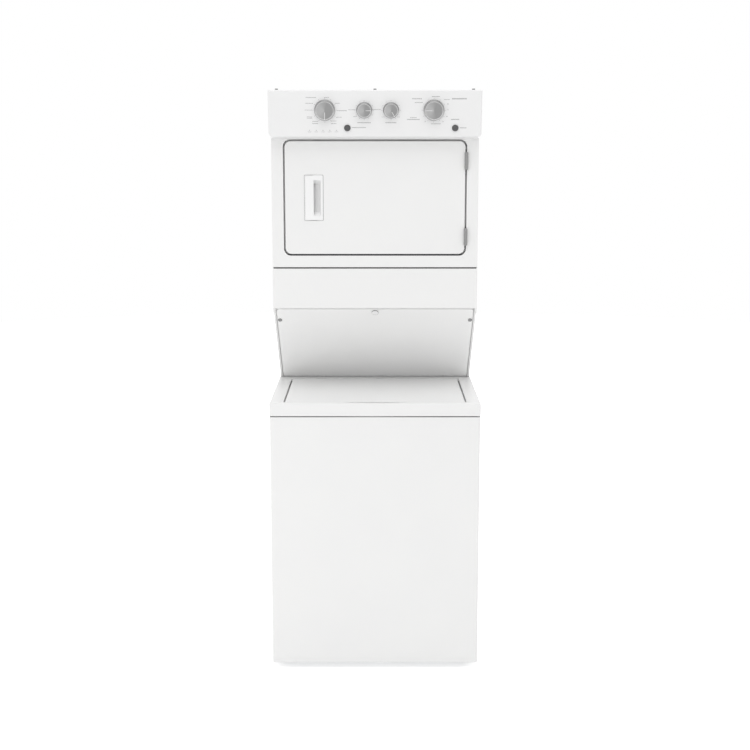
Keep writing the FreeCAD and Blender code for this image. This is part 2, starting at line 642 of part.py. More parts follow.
def dryer_cabinet():
    """Both sides and the top bent from one sheet."""
    front = DRYER_FRONT + FRONT_DEPTH
    bend = 5.0

    def top_corner(middle, way):
        return abs(way.y) > 0.99 and middle.z > DRYER_TOP - 2

    outer = box((-DRYER_HALF, DRYER_HALF), (front, DRYER_BACK), (DRYER_BASE, DRYER_TOP))
    inside = DRYER_HALF - SHEET
    inner = box((-inside, inside), (front - 1, DRYER_BACK + 1), (DRYER_BASE - 1, DRYER_TOP - SHEET))
    return round_edges(outer, bend, top_corner).cut(round_edges(inner, bend - SHEET, top_corner))


def dryer_rear_panel():
    """Back of the dryer and rear end of the drum's space, with the drum's bearing in its middle."""
    y = (DRYER_BACK, DRYER_BACK + PANEL)
    plate = box((-DRYER_HALF, DRYER_HALF), y, (DRYER_BASE, DRYER_TOP))
    boss = rod(V(0, y[0], DRUM_Z), V(0, y[1] + 18, DRUM_Z), 26.0)
    panel = fused([plate, boss])
    panel = panel.cut(rod(V(0, 300, DRUM_Z), V(0, 400, DRUM_Z), DRUM_SHAFT_R + RUN))
    panel = panel.cut(rod(V(-CORNER_X, 300, CORNER_Z), V(-CORNER_X, 400, CORNER_Z), EXHAUST_R + 1.5))
    for row in range(5):
        for x in (-60.0, 0.0, 60.0):
            z = DRUM_Z - 160 + row * 80
            if x or abs(z - DRUM_Z) > 50:
                panel = panel.cut(rod(V(x, 300, z), V(x, 400, z), 20.0))
    return panel


def heater_box():
    """Heater duct and its cover on the dryer's back, with air slots near its foot."""
    y = DRYER_BACK + PANEL
    half, depth, low, high, corner = 105.0, 40.0, 1290.0, 1720.0, 10.0

    def rear_edge(middle, way):
        return abs(way.y) < 0.01 and middle.y > y + depth - PANEL - 1

    outer = round_edges(box((-half, half), (y, y + depth), (low, high)), corner, rear_edge)
    inner = box((PANEL - half, half - PANEL), (y - 1, y + depth - PANEL), (low + PANEL, high - PANEL))
    duct = outer.cut(round_edges(inner, corner - PANEL, rear_edge))
    for i in range(5):
        z = low + 20 + i * 14
        duct = duct.cut(box((25 - half, half - 25), (y + 20, y + 50), (z, z + 6)))
    return duct


def terminal_cover():
    """Cover over the supply terminals, with the cord's entry in its underside."""
    y = DRYER_BACK + PANEL
    outer = box((185, 275), (y, y + 34), (1235, 1335))
    cover = outer.cut(box((187, 273), (y - 1, y + 32), (1237, 1333)))
    return cover.cut(rod(V(230, y + 17, 1230), V(230, y + 17, 1240), 12.0))


def front_shell(z):
    """Front panel blank: face with returns on all four sides, open behind."""
    back = DRYER_FRONT + FRONT_DEPTH
    outer = box((-DRYER_HALF, DRYER_HALF), (DRYER_FRONT, back), z)
    outer = outer.makeFillet(2.5, [e for e in outer.Edges if e.CenterOfMass.y < DRYER_FRONT + 0.01])
    inner = box((PANEL - DRYER_HALF, DRYER_HALF - PANEL), (DRYER_FRONT + PANEL, back + 1),
                (z[0] + PANEL, z[1] - PANEL))
    return outer.cut(inner)


def dryer_lower_panel():
    """Access panel below the dryer's door."""
    return front_shell((DRYER_BASE, LOWER_PANEL_TOP))


def throat(y, grow):
    """Rounded opening that the laundry goes through, grown by the given amount."""
    return rounded_y((-THROAT_X - grow, THROAT_X + grow), y, (THROAT_Z[0] - grow, THROAT_Z[1] + grow),
                     THROAT_CORNER + grow)


def dryer_front_panel():
    """Front with a recess that the door closes into, the loading opening and the catch's slot."""
    shell = front_shell((LOWER_PANEL_TOP + SEAM, DRYER_TOP))
    floor = DRYER_FRONT + RECESS_DEPTH
    xs, zs = RECESS_HALF_X, RECESS_HALF_Z
    pan = rounded_y((-xs - PANEL, xs + PANEL), (DRYER_FRONT + 1, floor + PANEL),
                    (DOOR_Z - zs - PANEL, DOOR_Z + zs + PANEL), 24.0 + PANEL)
    hollow = rounded_y((-xs, xs), (DRYER_FRONT - 1, floor), (DOOR_Z - zs, DOOR_Z + zs), 24.0)
    panel = fused([shell, pan]).cut(hollow).cut(throat((floor - 1, floor + 10), 0))
    return panel.cut(box((-268, -255), (floor - 1, floor + 5), (DOOR_Z - 14, DOOR_Z + 14)))


def front_bulkhead():
    """Inner front wall: throat collar, ring that carries the drum's mouth, and the lint duct below."""
    y0, y1 = BULKHEAD_Y, BULKHEAD_Y + PANEL
    floor = DRYER_FRONT + RECESS_DEPTH + PANEL
    plate = box((-338, 338), (y0, y1), (DRYER_BASE + 14, 1800))
    ring = tube(V(0, y0, DRUM_Z), V(0, DRUM_FRONT + 14, DRUM_Z), DRUM_R - 2, DRUM_R - 3.5)
    low, high, head = 1235.0, 1345.0, THROAT_Z[0] - PANEL
    duct = fused([box((-158, 158), (-178, y1), (low, head + 0.5)),
                  box((150, 334), (-178, y1), (low, high))])
    air_y = (-178 + PANEL, y0)
    air = fused([box((-158 + PANEL, 158 - PANEL), air_y, (low + PANEL, head)),
                 box((150, 334 - PANEL), air_y, (low + PANEL, high - PANEL))])
    wall = fused([plate, ring, duct, throat((floor, y1), PANEL)]).cut(air)
    wall = wall.cut(throat((floor - 1, y1 + 1), 0))
    wall = wall.cut(rod(V(CORNER_X, y0 - 2, CORNER_Z), V(CORNER_X, y1 + 2, CORNER_Z), 40.0))
    return wall.cut(box((-147, 147), (SCREEN_Y[0] - 1, SCREEN_Y[1] + 1), (1430, THROAT_Z[0] + 3)))


def exhaust_pipe():
    """Four-inch pipe from the blower's duct out through the back."""
    start, end = V(-CORNER_X, -60, CORNER_Z), V(-CORNER_X, EXHAUST_END, CORNER_Z)
    pipe = tube(start, end, EXHAUST_R, EXHAUST_R - 1)
    back = DRYER_BACK + PANEL
    collar = tube(V(-CORNER_X, back, CORNER_Z), V(-CORNER_X, back + 2, CORNER_Z), 64.0, EXHAUST_R - 0.5)
    return fused([pipe, collar])


# ---- dryer: drum and drive -----------------------------------------------------------------------
def dryer_drum():
    """Steel drum, open in front, with three baffles and the rear shaft that turns in the bearing."""
    inner_back = DRUM_BACK - PANEL
    shell = tube(V(0, DRUM_FRONT, DRUM_Z), V(0, DRUM_BACK, DRUM_Z), DRUM_R, DRUM_R - SHEET)
    back = rod(V(0, inner_back, DRUM_Z), V(0, DRUM_BACK, DRUM_Z), DRUM_R)
    shaft = rod(V(0, inner_back, DRUM_Z), V(0, DRYER_BACK + 22, DRUM_Z), DRUM_SHAFT_R)
    parts = [shell, back, shaft, rod(V(0, DRUM_BACK, DRUM_Z), V(0, DRUM_BACK + 3, DRUM_Z), 45.0)]
    root = DRUM_R - 1.8
    tip = root - 50.0
    length = 400.0
    outline = [V(-28, 0, root), V(28, 0, root), V(9, 0, tip), V(-9, 0, tip)]
    hollow = [V(-25, 0, root + 5), V(25, 0, root + 5), V(7, 0, tip + PANEL), V(-7, 0, tip + PANEL)]
    for i in range(3):
        fin = Part.Face(Part.makePolygon(outline + outline[:1])).extrude(V(0, length, 0))
        core = Part.Face(Part.makePolygon(hollow + hollow[:1])).extrude(V(0, length - 2 * PANEL, 0))
        core.translate(V(0, PANEL, 0))
        fin = fin.cut(core)
        fin.translate(V(0, DRUM_FRONT + 50, 0))
        fin.rotate(V(0, 0, 0), V(0, 1, 0), 60 + i * 120)
        fin.translate(V(0, 0, DRUM_Z))
        parts.append(fin)
    return fused(parts)


def dryer_motor():
    """Open-framed motor, hollow between core and shell, in a sheet cradle on the base pan."""
    x, z = CORNER_X, CORNER_Z
    front, back = -55.0, 82.0
    floor = DRYER_BASE + PLATE
    legs = [box((x - 42, x + 42), y, (floor, z - 35)) for y in ((-35.0, -32.0), (57.0, 60.0))]
    sole = box((x - 42, x + 42), (-35, 60), (floor, floor + 3))
    motor = fused([rod(V(x, front, z), V(x, back, z), 56.0), sole] + legs)
    motor = motor.cut(tube(V(x, front + 8, z), V(x, back + 1, z), 49.0, 30.0))
    return motor.cut(rod(V(x, front - 5, z), V(x, back + 5, z), MOTOR_SHAFT_R + RUN))


def motor_shaft():
    """Shaft through the motor, with the drum belt's pulley at its rear end."""
    x, z = CORNER_X, CORNER_Z
    shaft = rod(V(x, -130, z), V(x, 126, z), MOTOR_SHAFT_R)
    pulley = rod(V(x, 100, z), V(x, 122, z), MOTOR_PULLEY_R)
    flanges = [rod(V(x, y, z), V(x, y + 2, z), MOTOR_PULLEY_R + 3.5) for y in (100, 120)]
    return fused([shaft, pulley] + flanges)


def blower_wheel():
    """Squirrel-cage wheel on the front end of the motor's shaft."""
    x, z = CORNER_X, CORNER_Z
    outer_r, inner_r, hub_r = 57.0, 44.0, 12.0
    front, back = -134.0, -90.0
    parts = [rod(V(x, back - 2, z), V(x, back, z), outer_r),
             rod(V(x, front + 6, z), V(x, back, z), hub_r),
             tube(V(x, front, z), V(x, front + 3, z), outer_r, inner_r)]
    lean = 18.0
    count = 18
    for i in range(count):
        blade = Part.makeBox(10.0, back - front - 3, 1.6, V(inner_r + 1, 0, 0))
        blade.rotate(V(inner_r + 1, 0, 0), V(0, 1, 0), lean)
        blade.rotate(V(0, 0, 0), V(0, 1, 0), i * 360 / count)
        blade.translate(V(x, front + 1.5, z))
        parts.append(blade)
    return fused(parts).cut(rod(V(x, front - 5, z), V(x, back + 5, z), MOTOR_SHAFT_R))


def blower_housing():
    """Blower case and the flat duct that crosses under the drum to the exhaust pipe."""
    x, z = CORNER_X, CORNER_Z
    front, back = BULKHEAD_Y + PANEL, -82.0
    low, high = DRYER_BASE + PLATE + 2.5, 1246.0
    case_r = 67.5
    outer = fused([rod(V(x, front, z), V(x, back, z), case_r),
                   box((-240, x + 12), (front, back), (low, high)),
                   box((-318, -213), (front, -60), (low, 1332))])
    inner = fused([rod(V(x, front - 1, z), V(x, back - PANEL, z), case_r - PANEL),
                   box((-241, x), (front + PANEL, back - PANEL), (low + PANEL, high - PANEL)),
                   box((PANEL - 318, -213 - PANEL), (front + PANEL, -60 - PANEL),
                       (low + PANEL, 1332 - PANEL))])
    case = outer.cut(inner)
    case = case.cut(rod(V(x, -100, z), V(x, -80, z), MOTOR_SHAFT_R + 3))
    return case.cut(rod(V(-x, -64, z), V(-x, -50, z), EXHAUST_R - 1))


def drum_belt():
    """Flat belt round the drum and the motor's pulley."""
    loop = belt_loop(V(0, 0, 0), DRUM_R + BELT_GAP, V(CORNER_X, DRUM_Z - CORNER_Z, 0),
                     MOTOR_PULLEY_R + BELT_GAP, BELT_THICK, BELT_Y[1] - BELT_Y[0])
    loop.rotate(V(0, 0, 0), V(1, 0, 0), -90)
    loop.translate(V(0, BELT_Y[0], DRUM_Z))
    return loop


def idler_arm():
    """Sprung arm that carries the idler pulley's pin."""
    (px, pz), (cx, cz) = IDLER_PIVOT, IDLER_CENTRE
    y0, y1 = 91.0, 95.0
    run = V(cx - px, 0, cz - pz)
    web = Part.makeBox(run.Length, y1 - y0, 14, V(0, y0, -7))
    web.rotate(V(0, 0, 0), V(0, 1, 0), -math.degrees(math.atan2(run.z, run.x)))
    web.translate(V(px, 0, pz))
    arm = fused([web, rod(V(px, y0, pz), V(px, y1, pz), 9.0), rod(V(cx, y0, cz), V(cx, y1, cz), 9.0),
                 rod(V(cx, y0, cz), V(cx, 122, cz), IDLER_PIN_R)])
    return arm.cut(rod(V(px, y0 - 1, pz), V(px, y1 + 5, pz), IDLER_PIN_R + RUN))


def idler_pulley():
    """Plain wheel that presses on the outside of the drum's belt."""
    cx, cz = IDLER_CENTRE
    return tube(V(cx, 101, cz), V(cx, 120, cz), IDLER_R, IDLER_PIN_R + RUN)


def lint_screen():
    """Framed screen that pulls up out of the door opening by its grip."""
    y0, y1 = SCREEN_Y
    frame = box((-142, 142), (y0, y1), (1262, THROAT_Z[0] + 1))
    for x in (-136.0, 3.0):
        for step in (0, 1):
            z = 1268 + step * 82
            frame = frame.cut(box((x, x + 133), (y0 - 1, y0 + 2.4), (z, z + 76)))
            frame = frame.cut(box((x, x + 133), (y1 - 2.4, y1 + 1), (z, z + 76)))
    grip = box((-75, 75), (y0 - 4, y1 + 4), (THROAT_Z[0] + 0.5, THROAT_Z[0] + 10))
    return fused([frame, round_edges(grip, 2.0, lambda middle, way: abs(way.x) > 0.99)])


# ---- dryer: door ---------------------------------------------------------------------------------
DOOR_HALF_X = RECESS_HALF_X - DOOR_GAP
DOOR_HALF_Z = RECESS_HALF_Z - DOOR_GAP
DOOR_INSIDE = DRYER_FRONT + 20.0


def door_slab(y, shrink, radius):
    """Rounded slab in the door's outline, smaller by the given amount."""
    x, z = DOOR_HALF_X - shrink, DOOR_HALF_Z - shrink
    return rounded_y((-x, x), y, (DOOR_Z - z, DOOR_Z + z), radius)


def door_outer_panel():
    """Outer door skin with a turned edge and the handle's cut-out."""
    slab = door_slab((DRYER_FRONT, DOOR_INSIDE), 0, 20.0)
    slab = slab.makeFillet(1.4, [e for e in slab.Edges if e.CenterOfMass.y < DRYER_FRONT + 0.01])
    skin = slab.cut(door_slab((DRYER_FRONT + PANEL, DOOR_INSIDE + 1), PANEL, 20.0 - PANEL))
    return skin.cut(box((HANDLE_X[0] + 3, HANDLE_X[1] - 3), (DRYER_FRONT - 2, DRYER_FRONT + 4),
                        (HANDLE_Z[0] + 3, HANDLE_Z[1] - 3)))


def door_inner_panel():
    """Inner door: flat rim, raised plug that fills the throat, and the strike for the catch."""
    y0 = DOOR_INSIDE
    y1 = y0 + PANEL
    back = y0 + 25.0
    rim = door_slab((y0, y1), 2.0, 18.0)
    x, z = THROAT_X - 10, (THROAT_Z[0] + 12, THROAT_Z[1] - 10)
    plug = rounded_y((-x, x), (y0, back), z, 42.0)
    plug = plug.makeFillet(8.0, [e for e in plug.Edges if e.CenterOfMass.y > back - 0.01])
    hollow = rounded_y((PANEL - x, x - PANEL), (y0 - 1, back - PANEL), (z[0] + PANEL, z[1] - PANEL),
                       42.0 - PANEL)
    hollow = hollow.makeFillet(8.0 - PANEL, [e for e in hollow.Edges
                                             if e.CenterOfMass.y > back - PANEL - 0.01])
    strike = box((-263, -260), (y0, y0 + 16), (DOOR_Z - 10, DOOR_Z + 10))
    return fused([rim, plug, strike]).cut(hollow)


def door_gasket():
    """Soft seal round the plug, just clear of the recess's floor."""
    y = (DOOR_INSIDE + PANEL, DRYER_FRONT + RECESS_DEPTH - 0.3)
    low, high = THROAT_Z
    outer = rounded_y((-236, 236), y, (low - 31, high + 31), 72.0)
    return outer.cut(rounded_y((-224, 224), (y[0] - 1, y[1] + 1), (low - 19, high + 19), 60.0))


def door_handle():
    """Moulded pull: frame on the door's face and a pocket that runs back under its left lip."""
    (x0, x1), (z0, z1) = HANDLE_X, HANDLE_Z
    frame = box((x0, x1), (DRYER_FRONT - 1.4, DRYER_FRONT), (z0, z1))
    frame = frame.makeFillet(0.9, [e for e in frame.Edges if e.CenterOfMass.y < DRYER_FRONT - 1.39])
    cup = box((x0 + 3, x1 - 3), (DRYER_FRONT, DOOR_INSIDE - 0.5), (z0 + 3, z1 - 3))
    body = fused([frame, cup])
    zs = (z0 + 25.5, z1 - 22.0)
    body = body.cut(box((x0 + 30.2, x1 - 7.9), (DRYER_FRONT - 3, DRYER_FRONT + 16), zs))
    return body.cut(box((x0 + 7, x1 - 7.9), (DRYER_FRONT + 2.5, DRYER_FRONT + 16), zs))


KNUCKLE_HALF = 15.7         # middle knuckle's half-length; the end knuckles start 0.3 mm beyond it
LEAF_Y = (DRYER_FRONT + 1, DRYER_FRONT + 17)


def door_hinges():
    """Door's half of each hinge: middle knuckle and the leaf on the door's edge."""
    halves = []
    x = (DOOR_HALF_X, DOOR_HALF_X + 1.6)
    for z in HINGE_ZS:
        zs = (z - KNUCKLE_HALF, z + KNUCKLE_HALF)
        half = fused([rod(V(HINGE_X, HINGE_Y, zs[0]), V(HINGE_X, HINGE_Y, zs[1]), HINGE_R),
                      box(x, LEAF_Y, (z - HINGE_HALF, z + HINGE_HALF)),
                      box(x, (HINGE_Y, DRYER_FRONT + 2), zs)])
        bore = rod(V(HINGE_X, HINGE_Y, z - 40), V(HINGE_X, HINGE_Y, z + 40), HINGE_PIN_R + RUN)
        halves.append(half.cut(bore))
    return Part.makeCompound(halves)


def door_hinge_pins():
    """Fixed half of each hinge: end knuckles with chamfered tips, pin and the leaf in the recess."""
    halves = []
    x = (RECESS_HALF_X - 1.8, RECESS_HALF_X)
    for z in HINGE_ZS:
        reach = HINGE_HALF - 1
        parts = [rod(V(HINGE_X, HINGE_Y, z - reach), V(HINGE_X, HINGE_Y, z + reach), HINGE_PIN_R)]
        for end in (-1, 1):
            near, far = z + end * (KNUCKLE_HALF + 0.3), z + end * HINGE_HALF
            tip = rod(V(HINGE_X, HINGE_Y, near), V(HINGE_X, HINGE_Y, far), HINGE_R)
            outer_ring = [e for e in tip.Edges if e.Curve.TypeId == "Part::GeomCircle"
                          and abs(e.CenterOfMass.z - far) < 0.1]
            parts.append(tip.makeChamfer(2.2, outer_ring))
            parts.append(box(x, (HINGE_Y, DRYER_FRONT + 2), sorted((near, far))))
        parts.append(box(x, LEAF_Y, (z - HINGE_HALF, z + HINGE_HALF)))
        halves.append(fused(parts))
    return Part.makeCompound(halves)


def door_catch():
    """Spring catch behind the recess's floor, open towards the strike."""
    y0 = DRYER_FRONT + RECESS_DEPTH + PANEL
    body = box((-275, -248), (y0, y0 + 16), (DOOR_Z - 20, DOOR_Z + 20))
    return body.cut(box((-268, -255), (y0 - 1, y0 + 13), (DOOR_Z - 14, DOOR_Z + 14)))


# ---- console -------------------------------------------------------------------------------------
TILT = math.degrees(math.atan2(FACE_FOOT.y - FACE_HEAD.y, FACE_HEAD.z - FACE_FOOT.z))


def on_face(shape, x, z):
    """Move a shape made about the origin, +Z outwards and +Y up, to a point of the console's face."""
    share = (z - FACE_FOOT.z) / (FACE_HEAD.z - FACE_FOOT.z)
    point = FACE_FOOT + (FACE_HEAD - FACE_FOOT) * share
    shape.rotate(V(0, 0, 0), V(1, 0, 0), 90 + TILT)
    shape.translate(V(x, point.y, point.z))
    return shape


def console_block(inset):
    """Solid in the console's outline, smaller by the given wall."""
    foot_y, head_y = FACE_FOOT.y, FACE_HEAD.y
    corners = [V(0, foot_y, FACE_FOOT.z), V(0, head_y, CONSOLE_TOP), V(0, -150, CONSOLE_TOP),
               V(0, -95, DRYER_TOP), V(0, DRYER_FRONT, DRYER_TOP), V(0, DRYER_FRONT, CONSOLE_UNDER)]
    wire = Part.makePolygon(corners + corners[:1])
    if inset:
        wire = wire.makeOffset2D(-inset, 2)
    half = CONSOLE_HALF - inset
    block = Part.Face(wire).extrude(V(2 * half, 0, 0))
    block.translate(V(-half, 0, 0))

    def lower_corner(middle, way):
        return abs(way.x) < 0.01 and middle.z < FACE_FOOT.z + 3 and abs(way.y) > 0.5

    block = round_edges(block, 14.0 - inset, lower_corner)

    def front_end(middle, way):
        return abs(way.x) < 0.01 and abs(way.z) > 0.9 and middle.y < foot_y - 5

    block = round_edges(block, 5.0 - inset / 2, front_end)
    top_edges = [e for e in block.Edges if e.CenterOfMass.z > CONSOLE_TOP - inset - 0.01
                 and e.CenterOfMass.y < -155]
    return block.makeFillet(4.0 - inset / 2, top_edges)


def console_shell():
    """Moulded console with holes for knobs, buttons and clips."""
    shell = console_block(0).cut(console_block(CONSOLE_WALL))
    half = CONSOLE_HALF - 8
    shell = shell.cut(box((-half, half), (-200, -110), (DRYER_TOP - 1, DRYER_TOP + CONSOLE_WALL + 1)))
    for x, _, _, _ in KNOBS.values():
        shell = shell.cut(on_face(Part.makeCylinder(KNOB_SHAFT_R + 1.5, 20, V(0, 0, -10)), x, KNOB_Z))
    for x in BUTTONS.values():
        shell = shell.cut(on_face(Part.makeCylinder(BUTTON_R + 0.45, 20, V(0, 0, -10)), x, BUTTON_Z))
    for x in CLIP_XS:
        shell = shell.cut(rod(V(x, -272, CONSOLE_TOP - 9), V(x, -272, CONSOLE_TOP + 1), 2.0))
    return shell


def knob(x, skirt_r, cap_r, clock):
    """Round knob with a skirt, a dished cap, a raised pointer and its shaft."""
    outline = [(0, 1.2), (skirt_r, 1.2), (skirt_r, 2.2), (cap_r + 1.2, 4.6), (cap_r + 0.6, 5.2),
               (cap_r, 14.5), (cap_r - 1.5, 16.5), (cap_r - 4.5, 16.5), (0, 15.6)]
    wire = Part.makePolygon([V(r, 0, z) for r, z in outline + outline[:1]])
    body = Part.Face(wire).revolve(V(0, 0, 0), V(0, 0, 1), 360)
    pointer = Part.makeBox(2.2, cap_r * 0.6, 2.6, V(-1.1, cap_r * 0.36, 14.6))
    pointer.rotate(V(0, 0, 0), V(0, 0, 1), -clock)
    shaft = Part.makeCylinder(KNOB_SHAFT_R, 24, V(0, 0, -22))
    return on_face(fused([body, pointer, shaft]), x, KNOB_Z)


def push_button(x):
    """Round button that stands a little proud of the face."""
    cap = Part.makeCylinder(BUTTON_R, 15, V(0, 0, -11))
    cap = cap.makeFillet(1.2, [e for e in cap.Edges if e.CenterOfMass.z > 3.9
                               and e.Curve.TypeId == "Part::GeomCircle"])
    return on_face(cap, x, BUTTON_Z)


def console_switches():
    """Timer and rotary switches behind the knobs, and a switch behind each button."""
    solids = []
    for x, skirt_r, _, _ in KNOBS.values():
        half = skirt_r - 6
        body = Part.makeBox(2 * half, 2 * half, 26, V(-half, -half, -CONSOLE_WALL - 26))
        body = body.cut(Part.makeCylinder(KNOB_SHAFT_R + RUN, 40, V(0, 0, -26)))
        solids.append(on_face(body, x, KNOB_Z))
    for x in BUTTONS.values():
        body = Part.makeBox(30, 22, 26, V(-15, -11, -CONSOLE_WALL - 26))
        body = body.cut(Part.makeCylinder(BUTTON_R + 0.45, 20, V(0, 0, -15)))
        solids.append(on_face(body, x, BUTTON_Z))
    return Part.makeCompound(solids)


# ---- write every sub-part ------------------------------------------------------------------------
MAKERS = (
    washer_cabinet, washer_rear_panel, washer_base, rear_feet, inlet_valve, washer_top, washer_lid,
    lid_lock, outer_tub, tub_ring, wash_basket, balance_ring, agitator, gearcase, drive_pulley,
    wash_motor_pulley, washer_motor, drain_pump, wash_belt, suspension_rods, suspension_springs,
    dryer_stand, backsplash_panel, trim_screws, lid_catch, dryer_base_pan, dryer_cabinet,
    dryer_rear_panel, heater_box, terminal_cover, dryer_lower_panel, dryer_front_panel,
    front_bulkhead, exhaust_pipe, dryer_drum, dryer_motor, motor_shaft, blower_wheel,
    blower_housing, drum_belt, idler_arm, idler_pulley, lint_screen, door_outer_panel,
    door_inner_panel, door_gasket, door_handle, door_hinges, door_hinge_pins, door_catch,
    console_shell, console_switches,
)
PIECES = {make.__name__: make for make in MAKERS}
PIECES["foot_front_left"] = lambda: foot(-FOOT_X, FOOT_YS[0])
PIECES["foot_front_right"] = lambda: foot(FOOT_X, FOOT_YS[0])
for name, values in KNOBS.items():
    PIECES[name] = lambda values=values: knob(*values)
for name, x in BUTTONS.items():
    PIECES[name] = lambda x=x: push_button(x)

os.makedirs("parts", exist_ok=True)
for name, make in PIECES.items():
    shape = make()
    if not shape.isValid() or not shape.Solids:
        raise ValueError(name + " is not a valid solid")
    shape.exportStep("parts/" + name + ".step")
    print(name, len(shape.Solids), "solid(s)", round(shape.Volume / 1000), "cm3")
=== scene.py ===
import json
import math

import bmesh
import bpy
from mathutils import Matrix, Vector


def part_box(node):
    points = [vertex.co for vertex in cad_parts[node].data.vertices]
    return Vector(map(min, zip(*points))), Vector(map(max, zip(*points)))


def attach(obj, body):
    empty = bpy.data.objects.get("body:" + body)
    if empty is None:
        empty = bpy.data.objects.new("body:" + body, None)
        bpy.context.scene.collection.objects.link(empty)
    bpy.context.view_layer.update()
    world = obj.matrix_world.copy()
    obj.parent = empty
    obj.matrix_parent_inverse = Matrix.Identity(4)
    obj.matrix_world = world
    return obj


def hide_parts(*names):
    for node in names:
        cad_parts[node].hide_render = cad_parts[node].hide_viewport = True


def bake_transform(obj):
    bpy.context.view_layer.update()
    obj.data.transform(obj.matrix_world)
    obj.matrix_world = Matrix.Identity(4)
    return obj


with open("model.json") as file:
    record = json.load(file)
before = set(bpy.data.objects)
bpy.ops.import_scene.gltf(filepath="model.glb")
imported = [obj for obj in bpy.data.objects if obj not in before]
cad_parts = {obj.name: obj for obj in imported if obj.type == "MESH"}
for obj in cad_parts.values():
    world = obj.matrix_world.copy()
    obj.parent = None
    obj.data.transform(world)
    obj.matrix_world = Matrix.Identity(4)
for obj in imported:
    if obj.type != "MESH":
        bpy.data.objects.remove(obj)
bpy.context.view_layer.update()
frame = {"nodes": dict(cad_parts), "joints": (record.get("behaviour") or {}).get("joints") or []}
bpy.ops.object.select_all(action="DESELECT")
MM = 0.001

# ---- camera and studio ---------------------------------------------------------------------------
# The stack is seen square from the front, from about the height of its console, in a white tent that
# lights it evenly, with two weak softboxes low at the front left and a broad one high above the
# washer's lid. The roof is dark, which shows only in what shines.
bpy.ops.object.camera_add(location=(0, -4.567, 1.751), rotation=(math.radians(79.9), 0, 0))
bpy.context.scene.camera = bpy.context.object
bpy.context.object.data.lens = 62.35
bpy.context.scene.view_settings.view_transform = "Standard"


def linear(hex_colour):
    """An sRGB hex colour as linear RGBA."""
    channels = [int(hex_colour[i:i + 2], 16) / 255 for i in (1, 3, 5)]
    return [c / 12.92 if c <= 0.04045 else ((c + 0.055) / 1.055) ** 2.4 for c in channels] + [1.0]


def add_node(owner, kind, inputs=None, **settings):
    """A new node with its settings; every input is a plain value or the socket that feeds it."""
    node = owner.node_tree.nodes.new("ShaderNode" + kind)
    for name, value in settings.items():
        setattr(node, name, value)
    for name, value in (inputs or {}).items():
        if isinstance(value, bpy.types.NodeSocket):
            owner.node_tree.links.new(value, node.inputs[name])
        else:
            node.inputs[name].default_value = value
    return node


def seen_directly(owner):
    """Socket that is 1 for what the lens sees itself, in a mirror or through glass, and 0 otherwise."""
    path = add_node(owner, "LightPath").outputs
    seen = path["Is Camera Ray"]
    for kind in ("Is Glossy Ray", "Is Transmission Ray"):
        seen = add_node(owner, "Math", {0: seen, 1: path[kind]}, operation="MAXIMUM").outputs[0]
    return seen


def softbox(location, width, watts):
    """Square area lamp aimed at the middle of the stack."""
    aim = (Vector((0, 0, 1.0)) - Vector(location)).to_track_quat("-Z", "Y").to_euler()
    bpy.ops.object.light_add(type="AREA", location=location, rotation=aim)
    bpy.context.object.data.size = width
    bpy.context.object.data.energy = watts


softbox((-3.0, -4.2, 0.9), 2.0, 4)
softbox((-1.4, -1.9, 0.1), 0.8, 2.6)
softbox((0, -1.4, 4.6), 3.0, 34)

world = bpy.data.worlds.new("white_studio")
world.use_nodes = True
bpy.context.scene.world = world
AMBIENT = 0.92                # strength of the tent's light on matt surfaces
DARK_ROOF = 0.35              # strength of the roof where it is seen or mirrored; the walls have 1
direction = add_node(world, "TexCoord").outputs["Generated"]
height = add_node(world, "SeparateXYZ", {0: direction}).outputs["Z"]
roof = add_node(world, "MapRange", {"Value": height, "From Min": 0.35, "From Max": 0.65,
                                    "To Min": 1 - AMBIENT, "To Max": DARK_ROOF - AMBIENT})
glow = add_node(world, "Math", {0: seen_directly(world), 1: roof.outputs[0], 2: AMBIENT},
                operation="MULTIPLY_ADD")
world.node_tree.links.new(glow.outputs[0], world.node_tree.nodes["Background"].inputs["Strength"])
world.node_tree.nodes["Background"].inputs["Color"].default_value = (1, 1, 1, 1)


def start_material(name, colour, roughness, metallic=0.0):
    """A material for one real finish: returns it, its shader and its object coordinates."""
    material = bpy.data.materials.new(name)
    material.use_nodes = True
    shader = material.node_tree.nodes["Principled BSDF"]
    shader.inputs["Base Color"].default_value = linear(colour)
    shader.inputs["Roughness"].default_value = roughness
    shader.inputs["Metallic"].default_value = metallic
    return material, shader, add_node(material, "TexCoord").outputs["Object"]


# The floor is paper. Far from the stack it glows white, so that it meets the tent without an edge.
bpy.ops.mesh.primitive_circle_add(vertices=96, radius=9, fill_type="NGON")
floor = bpy.context.object
floor.name = "studio_floor"
paper, paper_shader, place = start_material("white_paper_floor", "#fafafa", 0.9)
sweep = add_node(paper, "VectorMath", {0: place}, operation="LENGTH")
fade = add_node(paper, "MapRange", {"Value": sweep.outputs["Value"], "From Min": 0.5, "From Max": 2.4,
                                    "To Min": 0.5, "To Max": 1.0})
lift = add_node(paper, "Math", {0: fade.outputs[0], 1: seen_directly(paper)}, operation="MULTIPLY")
paper_shader.inputs["Emission Color"].default_value = (1, 1, 1, 1)
paper.node_tree.links.new(lift.outputs[0], paper_shader.inputs["Emission Strength"])
floor.data.materials.append(paper)

# ---- washer cabinet ------------------------------------------------------------------------------
# One wrap of sheet steel, open above and behind. It is sprayed with white enamel and baked, which
# leaves a hard gloss with a faint orange peel in it.


def noise(material, place, size, detail):
    """Noise of 0 to 1 with blotches of about that many millimetres."""
    inputs = {"Vector": place, "Scale": 1 / (size * MM), "Detail": detail}
    return add_node(material, "TexNoise", inputs).outputs[0]


